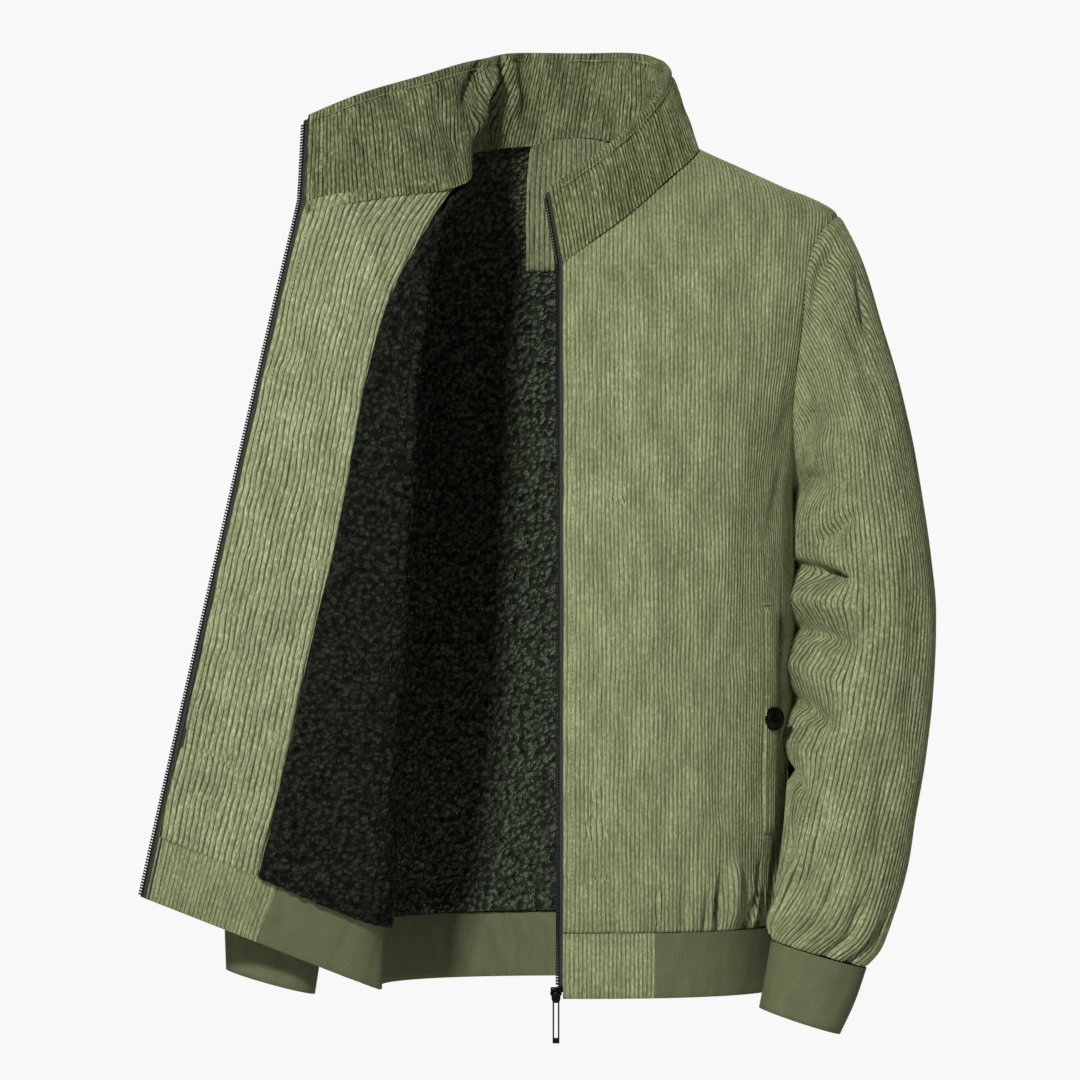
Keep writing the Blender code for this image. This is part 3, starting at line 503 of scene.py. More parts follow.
    def panel_top(self, arc: Array, face: Face) -> Array:
        """Finds a panel's top edge: neck seam, then shoulder seam.

        Args:
            arc: lengths from the middle line.
            face: front or back.

        Returns:
            The edge's heights.
        """
        z = np.linspace(self.arm_top_z, self.neck_side_z, 41)
        arcs = self.full_arc(z, face)
        shoulder = np.interp(np.abs(arc), arcs[::-1], z[::-1])
        return np.where(np.abs(arc) > arcs[-1], shoulder, self.neck_height(arc, face))

    def collar(self, part: Array, rise: Array) -> Array:
        """Lays the collar's outer face.

        Args:
            part: shares of the neck seam, from the left front edge to the right one.
            rise: shares of the way from the seam to the top edge.

        Returns:
            Its points.
        """
        part, rise = matched(part, rise)
        foot = along(self.neck_seam(), part)
        at = part * (len(COLLAR_TOP) - 1)
        top = np.stack([smooth_column(COLLAR_TOP, name, "place", at) for name in "xyz"], axis=-1)
        return foot + (top - foot) * rise[..., None]


@dataclass(frozen=True)
class Step:
    """One place and one value."""

    place: float
    value: float


@dataclass(frozen=True)
class SleeveForm:
    """A sleeve or a cuff: a tube through its rings.

    Attributes:
        rings: the rings from the top down.
        side: 1 for the left, -1 for the right.
        form: the body that a sleeve's first ring is sewn to, or None for a cuff.
        blend: rings over which the sleeve takes up its own oval.
    """

    rings: tuple[Ring, ...]
    side: int
    form: BodyForm | None = None
    blend: float = 4.0

    def value(self, name: str, place: Array) -> Array:
        """One column of the rings at places counted in rings."""
        rows = [Step(index, getattr(ring, name)) for index, ring in enumerate(self.rings)]
        return smooth_column(rows, "value", "place", place)

    def oval(self, turn: Array, place: Array) -> Array:
        """Lays the plain oval.

        Args:
            turn: turns about the tube: 0 on its outer side, a quarter at its front.
            place: places along the tube, in rings.

        Returns:
            Its points.
        """
        outer_x, inner_x = self.value("outer_x", place), self.value("inner_x", place)
        outer_z, inner_z = self.value("outer_z", place), self.value("inner_z", place)
        swing = np.cos(turn)
        return np.stack([
            (outer_x + inner_x) / 2 + (outer_x - inner_x) / 2 * swing,
            self.value("middle_y", place) - self.value("half_depth", place) * np.sin(turn),
            (outer_z + inner_z) / 2 + (outer_z - inner_z) / 2 * swing,
        ], axis=-1)

    def __call__(self, turn: Array, place: Array) -> Array:
        """Lays the tube's outer face.

        Args:
            turn: turns about the tube.
            place: places along the tube, in rings.

        Returns:
            Its points.
        """
        turn, place = matched(turn, place)
        if self.form is None:
            return self.oval(turn, place)
        around = np.mod(turn, 2 * math.pi)
        fit = np.clip(1 - place / self.blend, 0, 1)[..., None] ** 1.5
        start = self.form.armhole_loop(self.side, around) - self.oval(around, np.zeros_like(place))
        return self.oval(around, place) + start * fit


FORM = BodyForm()


# ---------------- cloth in its pattern
@dataclass(frozen=True)
class Crease:
    """A soft trough (or, with a negative depth, a ridge) between two points of the pattern, in metres.

    Attributes:
        start, end: where it runs.
        width: its half width.
        depth: how deep it is.
        bow: how far its middle lies to one side.
    """

    start: Pair
    end: Pair
    width: float
    depth: float
    bow: float = 0.0

    def height(self, u: Array, v: Array) -> Array:
        """Measures how far this crease raises the cloth.

        Args:
            u, v: pattern places.

        Returns:
            Heights over the form.
        """
        a, b = np.array(self.start), np.array(self.end)
        run = b - a
        length = float(np.hypot(*run))
        run = run / length
        part = ((u - a[0]) * run[0] + (v - a[1]) * run[1]) / length
        aside = (u - a[0]) * -run[1] + (v - a[1]) * run[0]
        aside = aside - self.bow * 4 * part * (1 - part)
        full_share, fade_out = 0.22, 0.045
        fade = np.exp(-np.maximum(0, np.abs(part - 0.5) - full_share) ** 2 / fade_out)
        return -self.depth * fade * bell(aside, self.width)


def folds(*rows: tuple[float, ...]) -> tuple[Crease, ...]:
    """Reads creases from rows in millimetres: start, end, width, depth and, if it bows, how far."""
    return tuple(Crease((a * MM, b * MM), (c * MM, d * MM), *(size * MM for size in rest))
                 for a, b, c, d, *rest in rows)


def creases_height(creases: Sequence[Crease], u: Array, v: Array) -> Array:
    """All the creases' heights together."""
    return sum((crease.height(u, v) for crease in creases), np.zeros(np.broadcast(u, v).shape))


def bell(distance: Array, width: float, power: int = 2) -> Array:
    """A soft bell: 1 where the distance is 0, falling away over a width."""
    return np.exp(-((distance / width) ** power))


def rolled(distance: Array, radius: float) -> Array:
    """A quarter-round edge: 0 at the edge, rising to 1 over a radius."""
    return np.sqrt(np.clip(1 - (1 - np.clip(distance / radius, 0, 1)) ** 2, 0, 1))


def lattice(i: Array, j: Array, seed: int) -> Array:
    """A repeatable random value for each pair of whole numbers.

    Args:
        i, j: the pairs.
        seed: which values.

    Returns:
        Values from 0 to 1.
    """
    mixed = (i.astype(np.int64) * 73856093) ^ (j.astype(np.int64) * 19349663) ^ (seed * 83492791)
    mixed = (mixed ^ (mixed >> 13)) * 1274126177
    return ((mixed ^ (mixed >> 16)) & 0xFFFF) / 65535.0


def cloud(u: Array, v: Array, size: float, seed: int) -> Array:
    """Smooth random relief.

    Args:
        u, v: pattern places.
        size: size of its features in metres.
        seed: which relief.

    Returns:
        Values from -1 to 1.
    """
    x, y = u / size, v / size
    i, j = np.floor(x), np.floor(y)
    s, t = x - i, y - j
    s, t = s * s * (3 - 2 * s), t * t * (3 - 2 * t)
    low = lattice(i, j, seed) * (1 - s) + lattice(i + 1, j, seed) * s
    high = lattice(i, j + 1, seed) * (1 - s) + lattice(i + 1, j + 1, seed) * s
    return 2 * (low * (1 - t) + high * t) - 1


def tufts(u: Array, v: Array, size: float, seed: int) -> Array:
    """Packed round tufts of pile.

    Args:
        u, v: pattern places.
        size: mean distance between tufts in metres.
        seed: which scatter.

    Returns:
        Heights, from 0 in the gaps to 1 on the tallest tops.
    """
    x, y = u / size, v / size
    i, j = np.floor(x), np.floor(y)
    best = np.zeros(x.shape)
    for di in (-1, 0, 1):
        for dj in (-1, 0, 1):
            ci, cj = i + di, j + dj
            dx = x - (ci + 0.15 + 0.7 * lattice(ci, cj, seed))
            dy = y - (cj + 0.15 + 0.7 * lattice(ci, cj, seed + 1))
            reach = 0.62 + 0.3 * lattice(ci, cj, seed + 2)
            tall = 0.6 + 0.4 * lattice(ci, cj, seed + 3)
            best = np.maximum(best, tall * np.sqrt(np.maximum(0, 1 - (dx * dx + dy * dy) / reach**2)))
    return best


def wale_height(u: Array, pitch: float, depth: float) -> Array:
    """Corduroy ribs: broad round tops and narrow channels at whole multiples of the pitch."""
    return depth * (np.abs(np.sin(math.pi * u / pitch)) ** 0.55 - 1)


def outward(surface: Surface, a: Array, b: Array, flip: int, step: Pair = (0.001, 0.001)) -> Array:
    """Finds a surface's outer normal.

    Args:
        surface: lays pattern places in space.
        a, b: pattern places.
        flip: 1 or -1, so that normals face out.
        step: how far each way to look.

    Returns:
        Unit normals.
    """
    across = surface(a + step[0], b) - surface(a - step[0], b)
    up = surface(a, b + step[1]) - surface(a, b - step[1])
    normal = np.cross(across, up) * flip
    return normal / np.maximum(np.linalg.norm(normal, axis=-1, keepdims=True), 1e-12)


def down_columns(columns: Array, count: int) -> Array:
    """Repeats each column's place down a number of rows."""
    return np.repeat(columns[:, None], count, axis=1)


@dataclass
class ClothGrid:
    """A grid of cloth on its form.

    Attributes:
        points: its points in space, column by column.
        uv: their places in the pattern, in metres.
        keep: which points lie on the panel, if not all.
        tone: pile: height of the tufts; corduroy: painted shade in the pocket's opening.
    """

    points: Array
    uv: Array
    keep: Array | None = None
    tone: Array | None = None

    def build(self, name: str, collection: bpy.types.Collection, closed: bool = False) -> bpy.types.Object:
        """Makes the mesh object.

        Args:
            name: the piece's name.
            collection: where it goes.
            closed: whether the first and last columns are sewn together.

        Returns:
            The new object, at the origin.
        """
        columns, rows = self.points.shape[:2]
        maker = bmesh.new()
        bmesh.ops.create_grid(maker, x_segments=columns - 1, y_segments=rows - 1, size=1.0)
        mesh = bpy.data.meshes.new(name)
        maker.to_mesh(mesh)
        maker.free()
        place = np.empty(len(mesh.vertices) * 3, np.float32)
        mesh.vertices.foreach_get("co", place)
        place = place.reshape(-1, 3)
        column = np.rint((place[:, 0] + 1) / 2 * (columns - 1)).astype(int)
        row = np.rint((place[:, 1] + 1) / 2 * (rows - 1)).astype(int)
        mesh.vertices.foreach_set("co", self.points[column, row].astype(np.float32).ravel())
        self.write_pattern(mesh, column, row)
        maker = bmesh.new()
        maker.from_mesh(mesh)
        self.trim(maker, column, row)
        rim = maker.verts if closed else [vert for vert in maker.verts if vert.is_boundary]
        bmesh.ops.remove_doubles(maker, verts=list(rim), dist=SIZES.weld)
        maker.to_mesh(mesh)
        maker.free()
        made = bpy.data.objects.new(name, mesh)
        collection.objects.link(made)
        return made

    def write_pattern(self, mesh: bpy.types.Mesh, column: Array, row: Array) -> None:
        """Writes the pattern places and the tone on a mesh, and makes it smooth.

        Args:
            mesh: the grid's mesh.
            column, row: where each vertex is in the grid.
        """
        corner = np.empty(len(mesh.loops), np.int32)
        mesh.loops.foreach_get("vertex_index", corner)
        layer = mesh.uv_layers.new(name="pattern")
        layer.data.foreach_set("uv", self.uv[column, row][corner].astype(np.float32).ravel())
        mesh.polygons.foreach_set("use_smooth", np.ones(len(mesh.polygons), bool))
        tone = np.zeros(self.points.shape[:2]) if self.tone is None else self.tone
        held = mesh.attributes.new("tone", "FLOAT", "POINT")
        held.data.foreach_set("value", tone[column, row].astype(np.float32))

    def trim(self, maker: Maker, column: Array, row: Array) -> None:
        """Cuts away the faces that lie wholly off the panel.

        Args:
            maker: the grid's mesh, open for editing.
            column, row: where each vertex is in the grid.
        """
        if self.keep is None:
            return
        maker.faces.ensure_lookup_table()
        outside = ~self.keep[column, row]
        gone = [face for face in maker.faces if all(outside[vert.index] for vert in face.verts)]
        bmesh.ops.delete(maker, geom=gone, context="FACES")


# ---------------- finishes
def linear(code: str) -> tuple[float, float, float, float]:
    """Turns a hex sRGB colour into a linear one."""
    shares = [int(code[i:i + 2], 16) / 255 for i in (1, 3, 5)]
    return (*[s / 12.92 if s <= 0.04045 else ((s + 0.055) / 1.055) ** 2.4 for s in shares], 1.0)


class Nodes:
    """Builds one material's node tree."""

    def __init__(self, name: str) -> None:
        """Starts a material.

        Args:
            name: its name.
        """
        self.material = bpy.data.materials.new(name)
        self.material.use_nodes = True
        self.tree = self.material.node_tree
        self.shader = self.tree.nodes["Principled BSDF"]

    def add(self, kind: str, inputs: dict | None = None, **settings: object) -> bpy.types.Node:
        """Adds a node.

        Args:
            kind: the node's type.
            inputs: values or sockets for its inputs, by name or number.
            **settings: the node's own properties.

        Returns:
            The new node.
        """
        node = self.tree.nodes.new(kind)
        for name, value in settings.items():
            setattr(node, name, value)
        for key, value in (inputs or {}).items():
            if isinstance(value, bpy.types.NodeSocket):
                self.tree.links.new(value, node.inputs[key])
            else:
                node.inputs[key].default_value = value
        return node

    def math(self, operation: str, *values: object) -> Socket:
        """A math node's result."""
        return self.add("ShaderNodeMath", dict(enumerate(values)), operation=operation).outputs[0]

    def between(self, value: object, low: float, high: float, to_low: float = 0.0,
                to_high: float = 1.0) -> Socket:
        """A value brought from one range to another and kept inside it."""
        return self.add("ShaderNodeMapRange", {0: value, 1: low, 2: high, 3: to_low, 4: to_high}).outputs[0]

    def mix(self, share: object, first: object, second: object) -> Socket:
        """A mix of two colours."""
        return self.add("ShaderNodeMix", {0: share, 6: first, 7: second}, data_type="RGBA").outputs[2]

    def lighter(self, value: object, colour: object) -> Socket:
        """A colour made lighter or darker by a factor."""
        return self.add("ShaderNodeHueSaturation", {"Value": value, "Color": colour}).outputs[0]

    def ribs(self, across: object, pitch: float) -> Socket:
        """Round ribs: 0 in the channels at whole multiples of a pitch, 1 on their tops."""
        return self.wave(self.math("DIVIDE", across, pitch))

    def wave(self, phase: object) -> Socket:
        """Round ribs by a phase that grows by 1 from channel to channel."""
        return self.math("ABSOLUTE", self.math("SINE", self.math("MULTIPLY", phase, math.pi)))

    def tone(self) -> Socket:
        """The piece's tone attribute: tuft height on pile, painted shade of the pocket's opening on corduroy.
        """
        return self.add("ShaderNodeAttribute", attribute_name="tone").outputs["Fac"]

    def pattern(self) -> tuple[Socket, Socket]:
        """The piece's place in its own flat pattern.

        Returns:
            Metres across and up the cloth.
        """
        place = self.add("ShaderNodeUVMap", uv_map="pattern").outputs[0]
        found = self.add("ShaderNodeSeparateXYZ", {0: place})
        return found.outputs[0], found.outputs[1]

    def noise(self, u: object, v: object, size_u: float, size_v: float, detail: float = 2.0,
              seed: float = 0.0) -> Socket:
        """Smooth noise on the cloth.

        Args:
            u, v: pattern places.
            size_u, size_v: size of its features in metres, across and up the cloth.
            detail: how many finer layers it has.
            seed: which noise.

        Returns:
            Values about 0.5.
        """
        place = self.add("ShaderNodeCombineXYZ", {
            0: self.math("DIVIDE", u, size_u), 1: self.math("DIVIDE", v, size_v), 2: seed})
        inputs = {"Vector": place.outputs[0], "Scale": 1.0, "Detail": detail}
        return self.add("ShaderNodeTexNoise", inputs).outputs[0]

    def bump(self, height: object, distance: float, strength: float = 1.0) -> None:
        """Adds fine relief of a depth in metres."""
        node = self.add("ShaderNodeBump", {"Height": height, "Distance": distance, "Strength": strength})
        self.tree.links.new(node.outputs[0], self.shader.inputs["Normal"])

    def set(self, **values: object) -> None:
        """Sets or links the shader's inputs.

        Args:
            **values: values or sockets by the input's name, with underscores for spaces.
        """
        for name, value in values.items():
            socket = self.shader.inputs[name.replace("_", " ")]
            if isinstance(value, bpy.types.NodeSocket):
                self.tree.links.new(value, socket)
            else:
                socket.default_value = value


@dataclass(frozen=True)
class Corduroy:
    """Olive cotton corduroy: soft wales with a short nap; painted highlight on the wale tops and painted
    shade in the thin channels between them.
    """

    name: str
    # the colour of the wale tops is a painted highlight
    top: str
    body: str
    # the channel colour is painted shade in the wale channels; it also darkens the random nap patches
    channel_shade_and_patches: str
    pitch: float
    fade: float = 0.5
    # depth sets how far the channels take the painted shade
    depth: float = 1.0

    def make(self) -> bpy.types.Material:
        """Builds the material; its wales follow the piece's own pattern.

        Returns:
            The new material.
        """
        n = Nodes(self.name)
        u, v = n.pattern()
        wander = n.between(n.noise(u, v, 0.006, 0.045), 0.3, 0.7, -0.11, 0.11)
        wales = n.wave(n.math("ADD", n.math("DIVIDE", u, self.pitch), wander))
        broken = n.between(n.noise(u, v, 0.0016, 0.02, 3.0, 7.0), 0.35, 0.65, -0.16, 0.16)
        # runs from 0 in the channels to 1 on the tops: it places the painted shade and the painted highlight
        groove = n.between(n.math("ADD", wales, broken), 0.16, 0.52)
        streak = n.between(n.noise(u, v, 0.0011, 0.03, 2.0, 3.0), 0.4, 0.72, 0.0, 0.45)
        speck = n.between(n.noise(u, v, 0.0016, 0.0052, 3.0, 4.0), 0.45, 0.66, 0.0, 0.62)
        # the nap's random streaks and specks, where the painted highlight shows on the tops
        wear_and_highlight = n.math("ADD", streak, speck)
        patches = n.between(n.noise(u, v, 0.02, 0.046, 3.0, 11.0), 0.32, 0.68)
        threads = n.between(n.noise(u, v, 0.0012, 0.0026, 2.0, 5.0), 0.3, 0.7, 0.78, 1.18)
        raised = n.between(groove, 0.0, 1.0, 1.0 - self.depth, 1.0)
        # painted shade: darker colour in the wale channels
        base = n.mix(raised, linear(self.channel_shade_and_patches), linear(self.body))
        # painted highlight: lighter colour on the wale tops
        lit = n.mix(n.math("MULTIPLY", wear_and_highlight, groove), base, linear(self.top))
        faded = n.math("MULTIPLY", n.math("SUBTRACT", 1.0, patches), self.fade)
        level = n.lighter(threads, n.mix(faded, lit, linear(self.channel_shade_and_patches)))
        opening_shade = n.tone()
        # painted shade: near black in the pocket's opening, with its sheen taken away
        level = n.mix(opening_shade, level, linear("#020301"))
        nap = n.noise(u, v, 0.001, 0.0024, 3.0, 2.0)
        relief = n.math("ADD", n.math("MULTIPLY", wales, 0.5), n.math("MULTIPLY", nap, 0.8))
        n.bump(relief, 0.0006, 0.9)
        sheen = n.between(opening_shade, 0.0, 0.6, 0.22, 0.0)
        n.set(Base_Color=level, Roughness=0.93, Sheen_Weight=sheen, Sheen_Roughness=0.45,
              Sheen_Tint=linear("#c3c79a"), Specular_IOR_Level=0.15)
        return n.material


@dataclass(frozen=True)
class RibKnit:
    """Dark olive rib knit: matt yarn in close fine ribs, with painted shade in the grooves between them."""

    name: str
    body: str
    # the groove colour is painted shade in the rib grooves
    groove: str
    pitch: float = 0.0017
    row: float = 0.0013

    def make(self) -> bpy.types.Material:
        """Builds the material; its ribs run up the piece's own pattern.

        Returns:
            The new material.
        """
        n = Nodes(self.name)
        u, v = n.pattern()
        rib, loop = n.ribs(u, self.pitch), n.ribs(v, self.row)
        soft = n.between(n.noise(u, v, 0.012, 0.03, 2.0), 0.3, 0.7, 0.88, 1.1)
        # painted shade: darker colour in the rib grooves
        base = n.mix(n.between(rib, 0.0, 0.6), linear(self.groove), linear(self.body))
        n.bump(n.math("ADD", rib, n.math("MULTIPLY", loop, 0.25)), 0.0002, 0.6)
        n.set(Base_Color=n.lighter(soft, base), Roughness=0.95, Sheen_Weight=0.12, Sheen_Roughness=0.5,
              Sheen_Tint=linear("#8f9570"), Specular_IOR_Level=0.12)
        return n.material


@dataclass(frozen=True)
class PileFleece:
    """Near-black green pile: matt curled tufts, with painted shade in the gaps between them and low down on
    each tuft.
    """

    name: str
    # the root colour is painted shade in the gaps between the tufts
    root_shade: str
    tip: str
    lock: float = 0.0046

    def make(self) -> bpy.types.Material:
        """Builds the material; fine curls over the tufts' own relief.

        Returns:
            The new material.
        """
        n = Nodes(self.name)
        u, v = n.pattern()
        sway = n.math("MULTIPLY", n.math("SUBTRACT", n.noise(u, v, 0.004, 0.004, 2.0, 6.0), 0.5), 2.0)
        place = n.add("ShaderNodeCombineXYZ", {
            0: n.math("ADD", n.math("DIVIDE", u, self.lock), sway),
            1: n.math("ADD", n.math("DIVIDE", v, self.lock), sway)}).outputs[0]
        cell = n.add("ShaderNodeTexVoronoi", {"Vector": place, "Scale": 1.0}, voronoi_dimensions="2D")
        # 1 in the middle of each curl, 0 in the gaps between the curls
        locks = n.between(cell.outputs[0], 0.6, 0.05)
        curl = n.math("ADD", n.math("MULTIPLY", n.noise(u, v, 0.0011, 0.0011, 3.0, 4.0), 0.35), locks)
        mottle = n.between(n.noise(u, v, 0.016, 0.016, 2.0, 9.0), 0.3, 0.7, 0.75, 1.2)
        high = n.between(n.tone(), 0.1, 0.95, 0.1, 1.0)
        # painted shade: darker in the gaps and low on each tuft, lighter on the tall tufts' tips
        tips = n.math("MULTIPLY", high, n.between(curl, 0.15, 1.1, 0.12, 1.0))
        base = n.lighter(mottle, n.mix(tips, linear(self.root_shade), linear(self.tip)))
        n.bump(curl, 0.003, 1.0)
        n.set(Base_Color=base, Roughness=1.0, Sheen_Weight=0.04, Sheen_Roughness=0.6,
              Sheen_Tint=linear("#7c8579"), Specular_IOR_Level=0.05)
        return n.material


@dataclass(frozen=True)
class Plain:
    """A hard or thread finish with a slightly uneven surface."""

    name: str
    colour: str
    roughness: float
    metallic: float = 0.0
    grain: float = 0.0008
    specular: float = 0.5

    def make(self) -> bpy.types.Material:
        """Builds the material in the piece's own object space.

        Returns:
            The new material.
        """
        n = Nodes(self.name)
        place = n.add("ShaderNodeTexCoord").outputs["Object"]
        inputs = {"Vector": place, "Scale": 1 / self.grain, "Detail": 2.0}
        speck = n.add("ShaderNodeTexNoise", inputs).outputs[0]
        uneven = 0.08
        low, high = max(0.05, self.roughness - uneven), min(1.0, self.roughness + uneven)
        rough = n.between(speck, 0.3, 0.7, low, high)
        n.set(Base_Color=linear(self.colour), Roughness=rough, Metallic=self.metallic,
              Specular_IOR_Level=self.specular)
        n.bump(speck, 0.00004, 0.5)
        return n.material


class Look(Enum):
    """The jacket's finishes."""

    FRONT = Corduroy("olive_corduroy_front", "#abb088", "#80855f", "#3a4024", 0.0034, 0.36, 0.66)
    BACK = Corduroy("olive_corduroy_back", "#abb088", "#80855f", "#3a4024", 0.0034, 0.38, 0.66)
    SLEEVE = Corduroy("olive_corduroy_sleeve", "#b4b88e", "#7c815b", "#333920", 0.0043, 0.36, 0.85)
    FACING = Corduroy("olive_corduroy_facing", "#b8be93", "#7d8360", "#333921", 0.0044, 0.28, 0.85)
    # a darker copy of the corduroy for the collar's outside: painted shade
    COLLAR = Corduroy("olive_corduroy_collar", "#a6ab7f", "#626841", "#1f2512", 0.0036, 0.4)
    # a still darker copy for the collar's inside: painted shade
    COLLAR_INSIDE = Corduroy("olive_corduroy_collar_inside", "#a3a87c", "#5b603f", "#151a0c", 0.0036, 0.42)
    RIB = RibKnit("olive_rib_knit", "#62664a", "#4e523a")
    # a darker copy of the one pile for the front linings: painted shade
    PILE = PileFleece("dark_green_pile_front", "#020302", "#3b4236")
    # a lighter copy of the one pile for the back lining: painted light
    PILE_BACK = PileFleece("dark_green_pile_back", "#070a07", "#758069")
    THREAD = Plain("olive_sewing_thread", "#a4a97c", 0.7)
    TAPE = Plain("dark_zip_tape", "#23271d", 0.85)
    TEETH = Plain("dark_zip_teeth", "#1b1c1c", 0.35, 0.6)
    METAL = Plain("black_zip_metal", "#0b0b0c", 0.28, 0.7)
    SNAP = Plain("black_snap_button", "#020202", 0.12, specular=0.22)

    @property
    def material(self) -> bpy.types.Material:
        """This finish's material, made once."""
        return bpy.data.materials.get(self.value.name) or self.value.make()


# ---------------- pieces
@dataclass(frozen=True)
class Sizes:
    """Sizes of the made-up jacket that the pieces share, in metres."""

    cloth: float = 2.0 * MM
    rib: float = 3.0 * MM
    seam: float = 0.3 * MM
    facing_depth: float = 2.9 * MM
    patch_depth: float = 8.2 * MM
    right_slack: float = 1.6 * MM
    side_bulge: float = 6.5 * MM
    collar_wall: float = 3.0 * MM
    per_wale: int = 4
    row: float = 7.5 * MM
    pile_step: float = 1.5 * MM
    band_end_left: float = 0.062
    band_end_right: float = 0.084
    edge: float = 4.0 * MM
    weld: float = 0.04 * MM


SIZES = Sizes()


@dataclass(frozen=True)
class Declared:
    """The flat cut of a piece, as far as it shows, in metres and square metres."""

    flat: Pair
    area: float
    held: str = "hung"


@dataclass
class JacketPart:
    """A sub-assembly: makes its pieces, gives them their finishes and hangs them on their CAD bodies."""

    collection: bpy.types.Collection
    made: dict[str, bpy.types.Object] = field(default_factory=dict)

    def give(self, piece: bpy.types.Object, look: Look, slot: str, nodes: Sequence[str] = (),
             cloth: Declared | None = None, body: str = BODY_NAME) -> None:
        """Sets a piece's finish, hangs it on its CAD body and hides the CAD nodes it stands for.

        Args:
            piece: the piece, in place.
            look: its finish.
            slot: the record's slot it belongs to; not used.
            nodes: the CAD nodes it stands for.
            cloth: its flat cut, if it is a sheet of cloth; not used.
            body: the CAD body it rides on.
        """
        piece.data.materials.clear()
        piece.data.materials.append(look.material)
        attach(piece, body)
        if nodes:
            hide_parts(*nodes)
        self.made[piece.name] = piece
        LOG.info("%s: %d faces", piece.name, len(piece.data.polygons))


def spread(low: float, high: float, step: float, fine: Sequence[float] = ()) -> Array:
    """Even places between two ends, with extra ones near both.

    Args:
        low, high: the ends.
        step: about how far apart the places are.
        fine: distances of the extra places from each end.

    Returns:
        The places in rising order.
    """
    count = max(2, int(round((high - low) / step)))
    places = list(np.linspace(low, high, count + 1))
    for near in fine:
        places += [low + near, high - near]
    return np.unique(np.round(places, 6))


@dataclass(frozen=True)
class PanelCut:
    """A body panel's outline in its pattern and how its cloth lies.

    Attributes:
        surface: lays the pattern on the body.
        flip: 1 or -1, so that normals face out.
        depth: how far under the jacket's outer face the cloth's outer side lies.
        inside: whether its visible side faces into the jacket.
        both_sides: whether it runs across the middle line to the other side.
        turned: depths of the columns that turn round the front edge.
        swell: size of its soft unevenness.
        dip: how far its sewn edges are pulled in.
        wander: how far the wales wander, in pitches.
        strength: a factor on the creases.
        bulge: how far it fills out towards the sleeve.
    """

    surface: Surface
    face: Face
    flip: int
    pitch: float
    wale: float
    creases: tuple[Crease, ...] = ()
    depth: float = 0.0
    inside: bool = False
    both_sides: bool = False
    turned: tuple[float, ...] = ()
    swell: float = 0.7 * MM
    seed: int = 1
    dip: float = 1.3 * MM
    dip_width: float = 1.6 * MM
    wander: float = 0.2
    strength: float = 1.7
    bulge: float = 0.0
    bulge_reach: float = 0.045
    bulge_middle: float = -0.4
    bulge_half: float = 0.17

    def low_edge(self, z: Array) -> Array:
        """The edge at its lesser lengths: the front edge, or the other side."""
        return -FORM.side_arc(z, self.face) if self.both_sides else np.full_like(z, FORM.zip_edge)

    def relief(self, plain: Array, arc: Array, z: Array, edge: Array) -> Array:
        """Measures how far the cloth's visible side rises.

        Args:
            plain: lengths that the wales follow.
            arc, z: pattern places.
            edge: distances from the nearest sewn edge.

        Returns:
            Heights over the cloth's flat lie.
        """
        lift = wale_height(plain - FORM.zip_edge, self.pitch, self.wale)
        lift = lift + self.strength * creases_height(self.creases, arc, z)
        uneven = cloud(arc, z, 0.055, self.seed + 5) + 0.6 * cloud(arc, z, 0.022, self.seed + 9)
        lift = lift + self.swell * uneven - self.dip * bell(np.maximum(edge, 0), self.dip_width)
        beside = bell(FORM.side_arc(z, self.face) - arc, self.bulge_reach)
        return lift + self.bulge * beside * bell(z - self.bulge_middle, self.bulge_half, 4)

    def grid(self, columns: Array, rows: Array, right: Edge | None = None) -> ClothGrid:
        """Lays the panel's cloth.

        Args:
            columns: lengths along the cloth from the middle line.
            rows: shares of the height from the hem to the top edge.
            right: the edge at its greater lengths, if not the side.

        Returns:
            The relief in place, with its pattern coordinates.
        """
        plain = down_columns(columns, len(rows))
        high = FORM.panel_top(columns, self.face)[:, None]
        z = FORM.hem_z + (high - FORM.hem_z) * rows[None, :]
        low = self.low_edge(z)
        up = right(z) if right else FORM.side_arc(z, self.face)
        keep = (plain > low - TINY) & (plain < up + TINY)
        wander = self.wander * self.pitch * (
            cloud(plain, z, 0.035, self.seed) + 0.5 * cloud(plain, z, 0.014, self.seed + 2))
        arc = np.clip(plain + np.where(keep, wander, 0.0), low, up)
        normal = outward(self.surface, arc, z, self.flip)
        base = self.surface(arc, z)
        edge = np.minimum(np.minimum(z - FORM.hem_z, high - z), up - arc)
        if self.inside or self.both_sides:
            edge = np.minimum(edge, arc - low)
        lift = self.relief(plain, arc, z, edge)
        points = base - normal * (self.depth - (-lift if self.inside else lift))[..., None]
        uv = np.stack([plain - FORM.zip_edge, run_length(base, 1)], axis=-1)
        if self.turned:
            extra = np.array(self.turned)[:, None, None]
            first = base[:1] - normal[:1] * (self.depth + extra)
            points = np.concatenate([first, points])
            uv = np.concatenate([np.broadcast_to(uv[:1], first.shape[:2] + (2,)) - extra * (1.0, 0.0), uv])
            keep = np.concatenate([np.repeat(keep[:1], len(extra), axis=0), keep])
        return ClothGrid(points, uv, keep)


